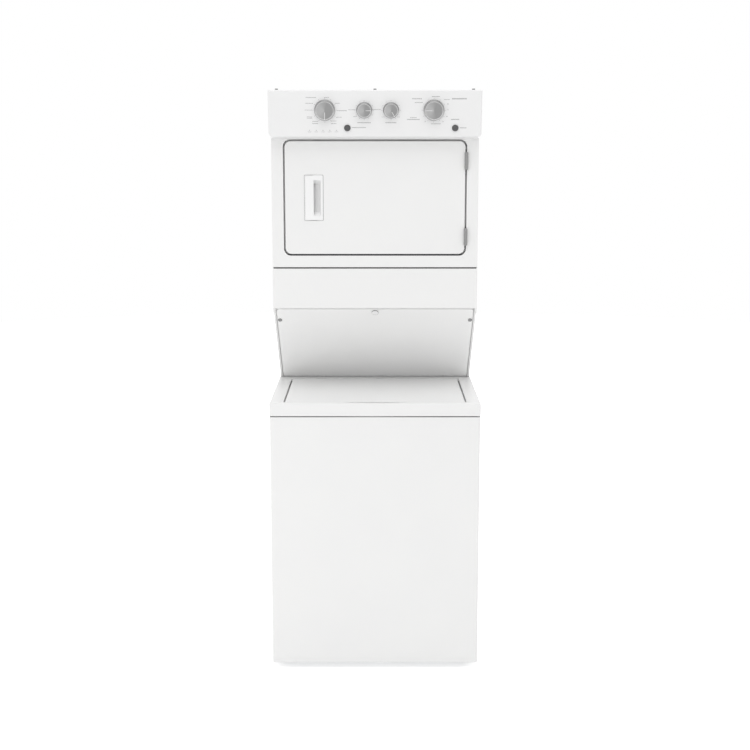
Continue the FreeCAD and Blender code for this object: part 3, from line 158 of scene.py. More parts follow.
def blend_colours(material, amount, first, second):
    """Socket from one colour at amount 0 to the other at 1, each an sRGB hex text or a socket."""
    ends = [linear(colour) if isinstance(colour, str) else colour for colour in (first, second)]
    return add_node(material, "Mix", {0: amount, 6: ends[0], 7: ends[1]}, data_type="RGBA").outputs[2]


def tint(material, shader, amount, first, second):
    """Feeds a shader's colour with a blend of two colours."""
    blend = blend_colours(material, amount, first, second)
    material.node_tree.links.new(blend, shader.inputs["Base Color"])


def vary(material, socket, amount, low, high):
    """Feeds a shader's number with a pattern mapped between two limits."""
    spread = add_node(material, "MapRange", {"Value": amount, "To Min": low, "To Max": high})
    material.node_tree.links.new(spread.outputs[0], socket)


def relief(material, shader, height, depth):
    """Bump of the given depth in metres from a height pattern of 0 to 1."""
    bump = add_node(material, "Bump", {"Height": height, "Distance": depth, "Strength": 1.0})
    material.node_tree.links.new(bump.outputs[0], shader.inputs["Normal"])


def grained(name, colour, roughness, metallic=0.0, grain=(1, 2), cloud=None, tones=None, gloss=None,
            depth=0):
    """A finish whose colour, roughness and height vary with a grain of (size in mm, detail).

    Tones and gloss are the limits of colour and roughness, depth is the relief's in mm. Where there
    is a cloud, the colour follows that second, larger pattern instead.
    """
    material, shader, place = start_material(name, colour, roughness, metallic)
    pattern = noise(material, place, *grain)
    if tones:
        patches = noise(material, place, *cloud) if cloud else pattern
        tint(material, shader, patches, *tones)
    if gloss:
        vary(material, shader.inputs["Roughness"], pattern, *gloss)
    if depth:
        relief(material, shader, pattern, depth * MM)
    return material


def paint(material, *nodes):
    """Gives CAD nodes their real finish."""
    for node in nodes:
        skins = frame["nodes"][node].data.materials
        skins.clear()
        skins.append(material)


def baked_enamel(name, dark, pale):
    """White enamel: gloss a little softened, orange peel about 3 mm across, tone even to 1 %."""
    return grained(name, dark, 0.3, grain=(3, 1), cloud=(220, 3), tones=(dark, pale),
                   gloss=(0.24, 0.38), depth=0.006)


enamel = baked_enamel("baked_white_enamel", "#e8e8e8", "#ececeb")
paint(enamel, "washer_cabinet", "washer_top")

# ---- washer base, back and feet ------------------------------------------------------------------
# Zinc-coated sheet steel, left bare where no one looks. Zinc freezes in flat crystals, the spangle.
galvanised, galvanised_shader, place = start_material("galvanised_sheet_steel", "#a9adb0", 0.42, 0.85)
spangle = add_node(galvanised, "TexVoronoi", {"Vector": place, "Scale": 1 / (9 * MM)})
flake = add_node(galvanised, "SeparateColor", {"Color": spangle.outputs["Color"]}).outputs[0]
crystals = blend_colours(galvanised, flake, "#9a9fa3", "#b9bdc0")
tint(galvanised, galvanised_shader, noise(galvanised, place, 90, 4), crystals, "#a4a6a6")
vary(galvanised, galvanised_shader.inputs["Roughness"], flake, 0.34, 0.52)
relief(galvanised, galvanised_shader, flake, 0.01 * MM)
paint(galvanised, "washer_rear_panel", "washer_base")

# Foot rubber: black and matt, with a fine moulded grain, paler and darker at random.
foot_rubber = grained("moulded_foot_rubber", "#26262a", 0.8, grain=(1.2, 3),
                      tones=("#202022", "#3a3a3b"), depth=0.05)
paint(foot_rubber, "foot_front_left", "foot_front_right", "rear_feet")


def start_block(x, y, z):
    """A box between two limits on each axis, the start of a piece."""
    size = [limits[1] - limits[0] for limits in (x, y, z)]
    middle = [(limits[0] + limits[1]) / 2 for limits in (x, y, z)]
    bpy.ops.mesh.primitive_cube_add(size=1, location=middle, scale=size)
    bpy.ops.object.transform_apply()
    return bpy.context.object


def choose(piece, test, kind="faces"):
    """Enters edit mode with only those faces or edges selected that pass the test."""
    bpy.context.view_layer.objects.active = piece
    bpy.ops.object.mode_set(mode="EDIT")
    bpy.ops.mesh.select_mode(type="FACE" if kind == "faces" else "EDGE")
    bpy.ops.mesh.select_all(action="DESELECT")
    mesh = bmesh.from_edit_mesh(piece.data)
    for part in [part for part in getattr(mesh, kind) if test(part)]:
        part.select_set(True)
    bmesh.update_edit_mesh(piece.data)


def middle_of(edge):
    """Middle point of an edge."""
    return (edge.verts[0].co + edge.verts[1].co) / 2


def runs_along(edge, axis):
    """True if the edge runs along axis 0, 1 or 2."""
    return abs((edge.verts[0].co - edge.verts[1].co).normalized()[axis]) > 0.99


def push(x=0.0, y=0.0, z=0.0):
    """Extrudes what is selected by that much."""
    bpy.ops.mesh.extrude_region_move(TRANSFORM_OT_translate={"value": (x, y, z)})


def score(place, direction):
    """Cuts new edges round the piece in edit mode, where a plane crosses it."""
    bpy.ops.mesh.select_all(action="SELECT")
    bpy.ops.mesh.bisect(plane_co=place, plane_no=direction)


def face_outwards():
    """Turns every face of the piece in edit mode outwards."""
    bpy.ops.mesh.select_all(action="SELECT")
    bpy.ops.mesh.normals_make_consistent(inside=False)


def round_corners(piece, axis, width, segments):
    """Bevels the edges that run along an axis, and stays in edit mode."""
    choose(piece, lambda edge: runs_along(edge, axis), "edges")
    bpy.ops.mesh.bevel(offset=width, segments=segments, affect="EDGES")


def turned_form(rings, sides=64):
    """A turned solid about +Z from (radius, height) rings in millimetres, the first at its foot."""
    radius, height = rings[0]
    bpy.ops.mesh.primitive_circle_add(vertices=sides, radius=radius * MM, fill_type="NGON",
                                      location=(0, 0, height * MM))
    bpy.ops.object.transform_apply()
    piece = bpy.context.object
    choose(piece, lambda face: True)
    for next_radius, next_height in rings[1:]:
        push(z=(next_height - height) * MM)
        share = next_radius / radius
        bpy.ops.transform.resize(value=(share, share, 1), center_override=(0, 0, 0))
        radius, height = next_radius, next_height
    face_outwards()
    bpy.ops.object.mode_set(mode="OBJECT")
    return piece


def set_out(piece, places):
    """Puts copies of a piece, each with its own mesh, at the given matrices and joins them."""
    twins = [piece] + [piece.copy() for _ in places[1:]]
    bpy.ops.object.select_all(action="DESELECT")
    for twin, at in zip(twins, places):
        if twin is not piece:
            twin.data = piece.data.copy()
            bpy.context.collection.objects.link(twin)
        twin.matrix_world = at
        twin.select_set(True)
    bpy.context.view_layer.objects.active = piece
    bpy.ops.object.join()


def finish_piece(piece, name, material, body, angle=35):
    """Puts the place into the mesh, names and paints the piece and hangs it on its body."""
    bpy.context.view_layer.objects.active = piece
    bpy.ops.object.mode_set(mode="OBJECT")
    bpy.ops.object.select_all(action="DESELECT")
    piece.select_set(True)
    bpy.ops.object.transform_apply()
    bpy.ops.object.shade_smooth_by_angle(angle=math.radians(angle))
    piece.name = name
    piece.data.name = name
    piece.data.materials.clear()
    piece.data.materials.append(material)
    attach(piece, body)


def round_off(piece, width, angle=30, segments=2):
    """Bevels every edge sharper than the angle."""
    bpy.context.view_layer.objects.active = piece
    bpy.ops.object.mode_set(mode="OBJECT")
    bevel = piece.modifiers.new("rounding", "BEVEL")
    bevel.width = width
    bevel.segments = segments
    bevel.angle_limit = math.radians(angle)
    bpy.ops.object.modifier_apply(modifier=bevel.name)


def facing(location, out):
    """Matrix that stands a piece made about +Z on a point, with +Z turned to the given direction."""
    return Matrix.Translation(location) @ Vector(out).to_track_quat("Z", "Y").to_matrix().to_4x4()


# Hexagon-head sheet metal screws with a pressed washer, zinc plated, round both rear panels.
def hexagon_screw():
    """One screw head: a hexagon on a thin pressed flange."""
    head = turned_form([(3.6, 0.4), (3.6, 3.2), (3.1, 3.8)], sides=6)
    flange = turned_form([(4.6, 0.0), (4.6, 0.5), (3.9, 0.9)], sides=20)
    head.select_set(True)
    bpy.context.view_layer.objects.active = flange
    bpy.ops.object.join()
    return flange


SCREW_INSET = 9 * MM          # from a sheet's edge to the middle of its screws


def side_screws(low, high, face, shares):
    """Screws up both sides of a back panel, at shares of its height, as matrices."""
    return [facing((side * (high.x - SCREW_INSET), face, low.z + share * (high.z - low.z)), (0, 1, 0))
            for side in (-1, 1) for share in shares]


zinc = grained("zinc_plated_screw", "#b4b6b4", 0.32, metallic=1.0, grain=(2, 2),
               tones=("#a6a8a4", "#c3c5c2"), gloss=(0.25, 0.42))
back_low, back_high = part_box("washer_rear_panel")
washer_screws = hexagon_screw()
set_out(washer_screws, side_screws(back_low, back_high, back_high.y, (0.02, 0.26, 0.5, 0.74, 0.98)))
finish_piece(washer_screws, "washer_back_screws", zinc, "frame")

# Two ribs pressed into the washer's back keep the thin sheet from drumming.
RIB_HALF = 230 * MM
RIB_RISE = 6 * MM
RIB_WIDE = 34 * MM
ribs = start_block((-RIB_HALF, RIB_HALF), (back_high.y - 0.1 * MM, back_high.y + RIB_RISE), (0, RIB_WIDE))
choose(ribs, lambda face: face.normal.y > 0.9)
bpy.ops.transform.resize(value=(0.96, 1, 0.4), center_override=(0, 0, RIB_WIDE / 2))
round_off(ribs, 3 * MM, angle=20, segments=3)
set_out(ribs, [Matrix.Translation((0, 0, z)) for z in (190 * MM, 500 * MM)])
finish_piece(ribs, "washer_back_ribs", galvanised, "frame")

# ---- drive train, pump and valve -----------------------------------------------------------------
# Gearcase cast in aluminium: pale, a little pitted, with a skin from the mould.
cast = grained("cast_aluminium", "#a9a9ab", 0.5, metallic=1.0, grain=(4, 5),
               tones=("#9c9c9e", "#b8b8ba"), gloss=(0.42, 0.62), depth=0.08)
paint(cast, "gearcase")

# Motors dipped in dark paint: semi-gloss, with runs down their sides, paler and darker.
dipped, dipped_shader, place = start_material("dip_painted_motor_steel", "#3b3d41", 0.45)
run = add_node(dipped, "Mapping", {"Vector": place, "Scale": (1, 1, 0.25)})
drips = noise(dipped, run.outputs[0], 14, 3)
tint(dipped, dipped_shader, drips, "#333539", "#4a4c50")
vary(dipped, dipped_shader.inputs["Roughness"], drips, 0.36, 0.55)
relief(dipped, dipped_shader, drips, 0.12 * MM)
paint(dipped, "washer_motor", "dryer_motor")

# Shaft and small pulley turned from bar: bright, with a fine grain left by the tool.
machined = grained("turned_steel", "#a3a3a5", 0.3, metallic=1.0, grain=(0.8, 1),
                   tones=("#979799", "#b1b1b3"), gloss=(0.22, 0.38))
paint(machined, "motor_shaft", "wash_motor_pulley")

# Black glass-filled nylon: matt, with a spark-eroded grain.
black_plastic = grained("glass_filled_nylon", "#26262a", 0.5, grain=(0.9, 2),
                        tones=("#222225", "#303034"), gloss=(0.42, 0.6), depth=0.02)
paint(black_plastic, "drive_pulley", "idler_pulley", "blower_wheel", "blower_housing", "inlet_valve",
      "drain_pump", "console_switches", "lid_lock")

# Drive belts of black rubber on cord, matt.
belt_rubber = grained("ribbed_belt_rubber", "#1f1f20", 0.7, grain=(2.3, 1),
                      tones=("#1a1a1b", "#2b2b2c"), depth=0.03)
paint(belt_rubber, "wash_belt", "drum_belt")

# Coloured washers round the two inlets tell the hot hose from the cold one. They are punched from
# fibre sheet and pushed over the threads.
INLET_X = 32 * MM
INLET_Z = 806 * MM
for name, colour, x in (("hot_inlet_washer", "#a8423a", -INLET_X),
                        ("cold_inlet_washer", "#3d5fa0", INLET_X)):
    fibre = grained(name + "_fibre", colour, 0.7, grain=(1.5, 3), gloss=(0.6, 0.85), depth=0.03)
    washer = turned_form([(13.5, 0.2), (18.5, 0.2), (18.5, 1.6), (13.5, 1.6)], sides=48)
    choose(washer, lambda face: len(face.verts) > 4)
    bpy.ops.mesh.delete(type="FACE")
    choose(washer, lambda edge: edge.is_boundary, "edges")
    bpy.ops.mesh.bridge_edge_loops()
    face_outwards()
    bpy.ops.object.mode_set(mode="OBJECT")
    washer.matrix_world = facing((x, back_high.y, INLET_Z), (0, 1, 0))
    finish_piece(washer, name, fibre, "frame")

# ---- tub, suspension and basket ------------------------------------------------------------------
# Tub of talc-filled polypropylene: grey-white and waxy.
tub_plastic = grained("talc_filled_polypropylene", "#b9bbbd", 0.5, grain=(60, 3),
                      tones=("#b3b5b7", "#c3c5c6"), gloss=(0.42, 0.58))
paint(tub_plastic, "outer_tub", "tub_ring")
paint(galvanised, "suspension_rods")

# Each spring stands on its rod's cap, which stays put, and carries one of the tub's ears, which
# bounces. The coils here are a welded, smoothed copy of the CAD node's springs and do not move with the
# tub.
coils = bpy.data.objects.new("coil_springs", frame["nodes"]["suspension_springs"].data.copy())
bpy.context.collection.objects.link(coils)
choose(coils, lambda face: True)
bpy.ops.mesh.remove_doubles(threshold=0.001 * MM)
bpy.ops.object.mode_set(mode="OBJECT")
bpy.ops.object.shade_smooth_by_angle(angle=math.radians(35))
coils.data.name = "coil_springs"
coils.data.materials.clear()
coils.data.materials.append(galvanised)
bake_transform(coils)
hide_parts("suspension_springs")


def unrolled(material, place, centre, turn, radius):
    """Socket with the arc length and the height on a cylinder whose axis is turned onto +Z."""
    local = add_node(material, "Mapping", {"Vector": place, "Location": centre, "Rotation": turn},
                     vector_type="TEXTURE")
    parts = add_node(material, "SeparateXYZ", {"Vector": local.outputs[0]}).outputs
    angle = add_node(material, "Math", {0: parts["Y"], 1: parts["X"]}, operation="ARCTAN2")
    arc = add_node(material, "Math", {0: angle.outputs[0], 1: radius}, operation="MULTIPLY")
    return add_node(material, "CombineXYZ", {"X": arc.outputs[0], "Y": parts["Z"]}).outputs[0]


HOLE_RADIUS = 2 * MM          # of the holes punched in the basket and the drum


def stainless_sheet(name, centre, turn, radius, pitch):
    """Rolled stainless sheet, satin along the roll, punched with small holes in staggered rows; their
    near-black colour is painted shade.
    """
    steel, shader, place = start_material(name, "#b4b4b4", 0.32, 1.0)
    sheet = unrolled(steel, place, centre, turn, radius)
    stretch = add_node(steel, "Mapping", {"Vector": sheet, "Scale": (0.02, 1, 1)})
    satin = noise(steel, stretch.outputs[0], 1.2, 2)
    rows = add_node(steel, "Mapping", {"Vector": sheet, "Rotation": (0, 0, math.radians(45))})
    inputs = {"Vector": rows.outputs[0], "Scale": 1 / pitch, "Randomness": 0.0}
    cells = add_node(steel, "TexVoronoi", inputs, voronoi_dimensions="2D")
    distance = cells.outputs["Distance"]
    hole_shade = add_node(steel, "Math", {0: distance, 1: HOLE_RADIUS / pitch}, operation="LESS_THAN")
    bare = blend_colours(steel, satin, "#a6a6a6", "#c4c4c4")
    # Painted shade: the holes are near-black dots in the colour, not openings.
    tint(steel, shader, hole_shade.outputs[0], bare, "#2c2c2e")
    vary(steel, shader.inputs["Roughness"], satin, 0.24, 0.42)
    dish = add_node(steel, "MapRange", {"Value": distance, "From Min": 0.8 * HOLE_RADIUS / pitch,
                                        "From Max": 1.4 * HOLE_RADIUS / pitch})
    relief(steel, shader, dish.outputs[0], 0.5 * MM)
    return steel


ring_low, ring_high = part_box("balance_ring")
tub_axis = (0, (ring_low.y + ring_high.y) / 2, 0)
basket_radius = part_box("wash_basket")[1].x
basket_steel = stainless_sheet("punched_stainless_basket", tub_axis, (0, 0, 0), basket_radius, 15 * MM)
paint(basket_steel, "wash_basket")

# ---- balance ring and agitator -------------------------------------------------------------------
# Both are moulded in white polypropylene, smooth and half gloss so that cloth slides on them.
white_plastic = grained("white_polypropylene", "#eeeeee", 0.34, grain=(1.6, 1), cloud=(120, 2),
                        tones=("#ececec", "#f1f1f1"), gloss=(0.28, 0.42), depth=0.005)
paint(white_plastic, "balance_ring", "agitator")

# Softener cup: a lift-off dispenser pressed onto the agitator's head, moulded in pale blue-grey.
cup_plastic = grained("blue_grey_polypropylene", "#b7c3cc", 0.36, grain=(40, 2),
                      tones=("#b1bdc7", "#bfcad2"), gloss=(0.3, 0.42))
cup = turned_form([(38.5, -18), (40, -16), (46, 22), (48.5, 30), (48.5, 32), (46.5, 32), (43.5, 22),
                   (38, 5), (20, 3), (19, 14), (14, 15), (13, 4), (4, 3.5)], sides=72)
cup.location = (0, tub_axis[1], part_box("agitator")[1].z)
finish_piece(cup, "softener_cup", cup_plastic, "agitator")

# ---- lid, its bumpers and the bleach cup ---------------------------------------------------------
# The lid is pressed from one sheet; its enamel is a little whiter than the cabinet's, painted light for
# the shade the dryer above casts on it.
# Four rubber bumpers keep it from ringing on the top when it drops.
paint(baked_enamel("lid_enamel_painted_light", "#ebebeb", "#eeeeed"), "washer_lid")
lid_low, lid_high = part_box("washer_lid")
RECESS_FLOOR = 900 * MM
BUMPER_X = 294 * MM
bumper = turned_form([(4.5, 0), (4.5, 2.4), (3.6, 3.3), (1.6, 3.6)], sides=28)
corners = [(x, y, RECESS_FLOOR) for x in (-BUMPER_X, BUMPER_X)
           for y in (lid_low.y + 40 * MM, lid_high.y - 60 * MM)]
set_out(bumper, [Matrix.Translation(corner) for corner in corners])
finish_piece(bumper, "lid_bumpers", foot_rubber, "frame")

# Bleach cup: a shallow moulded funnel let into the front left of the recess.
bleach = start_block((-288 * MM, -222 * MM), (lid_low.y + 8 * MM, lid_low.y + 40 * MM),
                     (RECESS_FLOOR - 0.2 * MM, RECESS_FLOOR + 4 * MM))
round_corners(bleach, 2, 8 * MM, 6)
choose(bleach, lambda face: face.normal.z > 0.9)
bpy.ops.mesh.inset(thickness=3 * MM)
push(z=-3 * MM)
bpy.ops.transform.resize(value=(0.9, 0.8, 1))
bpy.ops.mesh.inset(thickness=6 * MM)
push(z=-0.9 * MM)
round_off(bleach, 0.7 * MM)
finish_piece(bleach, "bleach_cup", white_plastic, "frame")

# ---- stand and backsplash ------------------------------------------------------------------------
# The stand's enamelled legs and sloping front carry the dryer; two cap screws hold the backsplash,
# whose enamel is a little whiter: painted light for the shaded niche under the dryer.
paint(enamel, "dryer_stand")
paint(baked_enamel("backsplash_enamel_painted_light", "#f0f0f0", "#f3f3f2"), "backsplash_panel")
paint(white_plastic, "lid_catch")

# Grey mouldings: satin ABS with a fine grain.
trim_grey = grained("grey_abs_trim", "#8c8c8c", 0.45, grain=(0.8, 2), tones=("#858585", "#969696"),
                    gloss=(0.38, 0.55))
paint(trim_grey, "trim_screws")

# A thin grey ring round the lid's catch is painted shade: it stands for the shadow round the catch's
# edge.
slope_low, slope_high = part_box("backsplash_panel")
slope_out = Vector((0, slope_low.z - slope_high.z, slope_low.y - slope_high.y)).normalized()
catch_low, catch_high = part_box("lid_catch")
catch_middle = Vector((0, (catch_low.y + catch_high.y) / 2, (catch_low.z + catch_high.z) / 2))
catch_shade_ring = turned_form([(11.6, -2.6), (11.6, 0.1), (11.1, 0.2), (11.1, -1.0)], sides=64)
catch_shade_ring.matrix_world = facing(catch_middle + slope_out * 2 * MM, slope_out)
finish_piece(catch_shade_ring, "lid_catch_painted_shade_ring", trim_grey, "frame")

# ---- dryer casing --------------------------------------------------------------------------------
# Wrap in enamel; pan, back, heater cover and pipe in zinc-coated sheet.
paint(enamel, "dryer_cabinet")
paint(galvanised, "dryer_base_pan", "dryer_rear_panel", "heater_box", "terminal_cover", "exhaust_pipe")

rear_low, rear_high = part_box("dryer_rear_panel")
rear_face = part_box("heater_box")[0].y
spots = side_screws(rear_low, rear_high, rear_face, (0.02, 0.27, 0.5, 0.73, 0.98))
spots += [facing((x * MM, rear_face, rear_high.z - 10 * MM), (0, 1, 0)) for x in (-200, 0, 200)]
dryer_screws = hexagon_screw()
set_out(dryer_screws, spots)
finish_piece(dryer_screws, "dryer_back_screws", zinc, "frame")

# Louvres lanced in the dryer's back let cool air in to the motor and the heater. Each is a lip of the
# sheet itself, pushed out and open below.
LOUVRE_HALF = 30 * MM
LOUVRE_OUT = 5 * MM
LOUVRE_TALL = 10 * MM
louvre = start_block((-LOUVRE_HALF, LOUVRE_HALF), (-0.1 * MM, LOUVRE_OUT), (0, LOUVRE_TALL))
choose(louvre, lambda edge: runs_along(edge, 0) and middle_of(edge).y > 0
       and middle_of(edge).z > LOUVRE_TALL / 2, "edges")
bpy.ops.transform.translate(value=(0, 0.4 * MM - LOUVRE_OUT, 0))
choose(louvre, lambda face: face.normal.y > 0.3)
bpy.ops.transform.resize(value=(0.86, 1, 1), center_override=(0, 0, 0))
round_off(louvre, 1.4 * MM, angle=20, segments=3)
stations = [(x * MM, rear_face, z * MM) for x in (-200, 200) for z in range(1420, 1600, 20)]
set_out(louvre, [Matrix.Translation(station) for station in stations])
finish_piece(louvre, "rear_louvres", galvanised, "frame")

# ---- dryer works ---------------------------------------------------------------------------------
# Drum of stainless sheet, front bulkhead and idler in galvanised steel.
drum_low, drum_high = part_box("dryer_drum")
drum_centre = (0, 0, (drum_low.z + drum_high.z) / 2)
drum_steel = stainless_sheet("rolled_stainless_drum", drum_centre, (math.radians(-90), 0, 0), drum_high.x,
                             24 * MM)
paint(drum_steel, "dryer_drum")
paint(galvanised, "front_bulkhead", "idler_arm")

# Lint screen: a frame of grey plastic with a nylon mesh, threads 2 mm apart as drawn, finer in fact.
mesh_plastic, mesh_shader, place = start_material("lint_screen_nylon", "#8b949c", 0.55)
meshes = add_node(mesh_plastic, "TexVoronoi", {"Vector": place, "Scale": 1 / (2 * MM), "Randomness": 0.0})
thread = add_node(mesh_plastic, "MapRange", {"Value": meshes.outputs["Distance"], "From Min": 0.35,
                                             "From Max": 0.5}).outputs[0]
tint(mesh_plastic, mesh_shader, thread, "#7a838b", "#98a1a8")
relief(mesh_plastic, mesh_shader, thread, 0.2 * MM)
paint(mesh_plastic, "lint_screen")

# ---- dryer fronts and door -----------------------------------------------------------------------
# Two folded fronts and the door's outer and inner pan, all enamelled like the cabinets.
paint(enamel, "dryer_lower_panel", "dryer_front_panel", "door_outer_panel", "door_inner_panel")
paint(galvanised, "door_catch")

# Door seal: soft grey rubber, matt.
seal_rubber = grained("soft_seal_rubber", "#8d8d8d", 0.75, grain=(1.5, 2), tones=("#868686", "#979797"),
                      depth=0.03)
paint(seal_rubber, "door_gasket")

# A black rubber strip lies along the lower front's top edge in the seam under the door: painted
# shade, a dark piece that deepens the seam's shadow.
front_low, front_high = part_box("dryer_lower_panel")
seam_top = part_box("door_outer_panel")[0].z - 0.2 * MM
seam_shade_strip = start_block((front_low.x + 4 * MM, front_high.x - 4 * MM),
                    (front_low.y + 1 * MM, front_low.y + 7 * MM), (front_high.z - 1 * MM, seam_top))
round_off(seam_shade_strip, 0.3 * MM)
finish_piece(seam_shade_strip, "painted_shade_seam_strip", foot_rubber, "frame")

# Hinges: steel knuckles and leaves with satin grey paint.
hinge_paint = grained("satin_grey_hinge_paint", "#8f8f8f", 0.4, grain=(1.5, 2),
                      tones=("#888888", "#979797"), gloss=(0.33, 0.48), depth=0.01)
paint(hinge_paint, "door_hinges", "door_hinge_pins")


# Cross-head screws, zinc plated, hold the inner door and the throat's flange.
def cross_screw(radius):
    """Low pan head with a cross-shaped recess, about +Z."""
    head = turned_form([(radius, 0), (radius, 0.4), (radius * 0.75, 1.0)], sides=28)
    choose(head, lambda face: face.normal.z > 0.9)
    bpy.ops.mesh.inset(thickness=0.2 * radius * MM)
    slot = 0.13 * radius * MM
    for direction in ((1, 0, 0), (0, 1, 0)):
        for side in (-slot, slot):
            score([side * part for part in direction], direction)
    bpy.ops.object.mode_set(mode="OBJECT")
    reach = 0.56 * radius * MM

    def in_cross(face):
        """True for the faces of the head's top that lie in the cross."""
        middle = face.calc_center_median()
        across, along = sorted((abs(middle.x), abs(middle.y)))
        return (face.normal.z > 0.9 and middle.z > 0.9 * MM and middle.length < reach * 1.5
                and across < slot and along < reach)

    choose(head, in_cross)
    push(z=-0.5 * MM)
    bpy.ops.object.mode_set(mode="OBJECT")
    return head


gasket_low, gasket_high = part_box("door_gasket")
throat_floor = gasket_high.y + 0.3 * MM
throat_spots = [(x * MM, throat_floor, z) for x in (-284, 284)
                for z in (gasket_low.z + 6 * MM, gasket_high.z - 6 * MM)]
recess_screws = cross_screw(4.0)
set_out(recess_screws, [facing(spot, (0, -1, 0)) for spot in throat_spots])
finish_piece(recess_screws, "recess_screws", zinc, "frame")

inner_low, inner_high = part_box("door_inner_panel")
door_screws = cross_screw(3.6)
door_spots = [(x * MM, gasket_low.y, z) for x in (-282, -95, 95, 282)
              for z in (inner_low.z + SCREW_INSET, inner_high.z - SCREW_INSET)]
set_out(door_screws, [facing(spot, (0, 1, 0)) for spot in door_spots])
finish_piece(door_screws, "inner_door_screws", zinc, "door")

# ---- door pull -----------------------------------------------------------------------------------
# One white moulding clipped into the door: a raised frame, a lip that rises to the right, and a
# pocket that slopes down to the left and runs back under the lip. The thin grey seal under it is
# painted shade for the gap round the pull.
pull_low, pull_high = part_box("door_handle")
door_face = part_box("door_outer_panel")[0].y
BORDER = 1.6 * MM
LIP_X = pull_low.x + 30.2 * MM
LIP_RISE = 1.4 * MM           # the lip's right edge stands this far above its left edge
LIP_DEEP = 2.5 * MM           # straight wall below the face, before the pocket slopes away
POCKET_X = pull_high.x - 7.9 * MM
POCKET_Z = (pull_low.z + 15 * MM, pull_high.z - 16.5 * MM)
POCKET_DEEP = 16 * MM
floor_y = pull_low.y + LIP_DEEP + POCKET_DEEP
pull = start_block((pull_low.x, pull_high.x), (pull_low.y, door_face), (pull_low.z, pull_high.z))
round_corners(pull, 1, 2.5 * MM, 4)
cup_x = (pull_low.x + BORDER, pull_high.x - BORDER)
cup_z = (pull_low.z + BORDER, pull_high.z - BORDER)
for x in (LIP_X, POCKET_X, *cup_x):
    score((x, 0, 0), (1, 0, 0))
for z in (*POCKET_Z, *cup_z):
    score((0, 0, z), (0, 0, 1))


def within_pocket(point):
    """True if the point lies in the pocket or under the lip."""
    return (POCKET_Z[0] - MM < point.z < POCKET_Z[1] + MM
            and pull_low.x + 4 * MM < point.x < POCKET_X + 0.5 * MM)


def within(face, x, z):
    """True if the face's middle lies between the limits in X and in Z."""
    middle = face.calc_center_median()
    return x[0] < middle.x < x[1] and z[0] < middle.z < z[1]


def at(value, place):
    """True if two places along an axis are the same to a tenth of a millimetre."""
    return abs(value - place) < 0.1 * MM


choose(pull, lambda face: face.normal.y > 0.9 and within(face, cup_x, cup_z))
push(y=pull_high.y - door_face)
choose(pull, lambda face: face.normal.y < -0.9 and within(face, (cup_x[0], LIP_X), cup_z))
push(y=LIP_RISE)
choose(pull, lambda edge: runs_along(edge, 2) and at(middle_of(edge).x, LIP_X)
       and at(middle_of(edge).y, pull_low.y + LIP_RISE), "edges")
bpy.ops.transform.translate(value=(0, -LIP_RISE, 0))
bpy.ops.mesh.select_all(action="SELECT")
bpy.ops.mesh.remove_doubles(threshold=0.05 * MM)
choose(pull, lambda face: face.normal.y < -0.9 and face.calc_center_median().y < pull_low.y + 0.1 * MM
       and within(face, (LIP_X, POCKET_X), POCKET_Z))
push(y=LIP_DEEP)
push(y=POCKET_DEEP)
bpy.ops.transform.resize(value=(1, 1, 0.8))
choose(pull, lambda edge: runs_along(edge, 2) and at(middle_of(edge).x, POCKET_X)
       and at(middle_of(edge).y, floor_y), "edges")
bpy.ops.transform.translate(value=(-2 * MM, -9 * MM, 0))
choose(pull, lambda face: face.normal.x > 0.9 and at(face.calc_center_median().x, LIP_X)
       and face.calc_center_median().y > pull_low.y + LIP_DEEP + 1 * MM)
push(x=-12 * MM)
face_outwards()
round_off(pull, 0.7 * MM, angle=25, segments=3)
finish_piece(pull, "door_pull", white_plastic, "door", angle=50)
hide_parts("door_handle")

# The seal is a thin grey rubber frame that peeps out all round, a little more on the pocket's side:
# painted shade for the gap round the pull.
pull_shade_seal = start_block((pull_low.x - 1.0 * MM, pull_high.x + 1.4 * MM),
                   (door_face - 0.5 * MM, door_face + 0.3 * MM),
                   (pull_low.z - 1.0 * MM, pull_high.z + 1.0 * MM))
round_corners(pull_shade_seal, 1, 3 * MM, 4)
choose(pull_shade_seal, lambda face: abs(face.normal.y) > 0.9)
bpy.ops.mesh.inset(thickness=2.8 * MM)
bpy.ops.mesh.bridge_edge_loops()
face_outwards()
round_off(pull_shade_seal, 0.15 * MM)
finish_piece(pull_shade_seal, "door_pull_painted_shade_seal", seal_rubber, "door")

# The pocket's inside is matt from an etch in the mould; its darker colour is painted shade for the
# recess.
pocket_shade_abs = grained("white_abs_painted_pocket_shade", "#dfdfdf", 0.7, grain=(0.6, 2), tones=("#dcdcdc", "#e2e2e2"),
                 depth=0.02)
pull.data.materials.append(pocket_shade_abs)
# Painted shade: the pocket's sides and floor take the darker colour, its end walls stay white.
for face in pull.data.polygons:
    if (pull_low.y + LIP_DEEP < face.center.y < floor_y + 0.1 * MM and abs(face.normal.z) < 0.4
            and within_pocket(face.center)):
        face.material_index = 1

# ---- console -------------------------------------------------------------------------------------
# White ABS moulding with a fine texture, clipped to the dryer's front and top.
console_plastic = grained("white_abs_console", "#e8e8e8", 0.42, grain=(1.2, 2), cloud=(200, 2),
                          tones=("#e6e6e6", "#eaeaea"), gloss=(0.36, 0.5), depth=0.008)
paint(console_plastic, "console_shell")

# Dials: silver-coated mouldings with a fluted grip, a bright bead round a spun foil face and a white
# pointer.
silver = grained("satin_silver_coating", "#9d9d9d", 0.34, metallic=0.55, grain=(0.7, 2),
                 tones=("#959595", "#a7a7a7"), gloss=(0.28, 0.42))
bright = grained("bright_chrome_bead", "#d0d0d0", 0.22, metallic=0.4, grain=(0.5, 1), gloss=(0.16, 0.28))
pointer_white = grained("white_pointer_paint", "#f4f4f4", 0.4, grain=(1, 2), gloss=(0.34, 0.48))

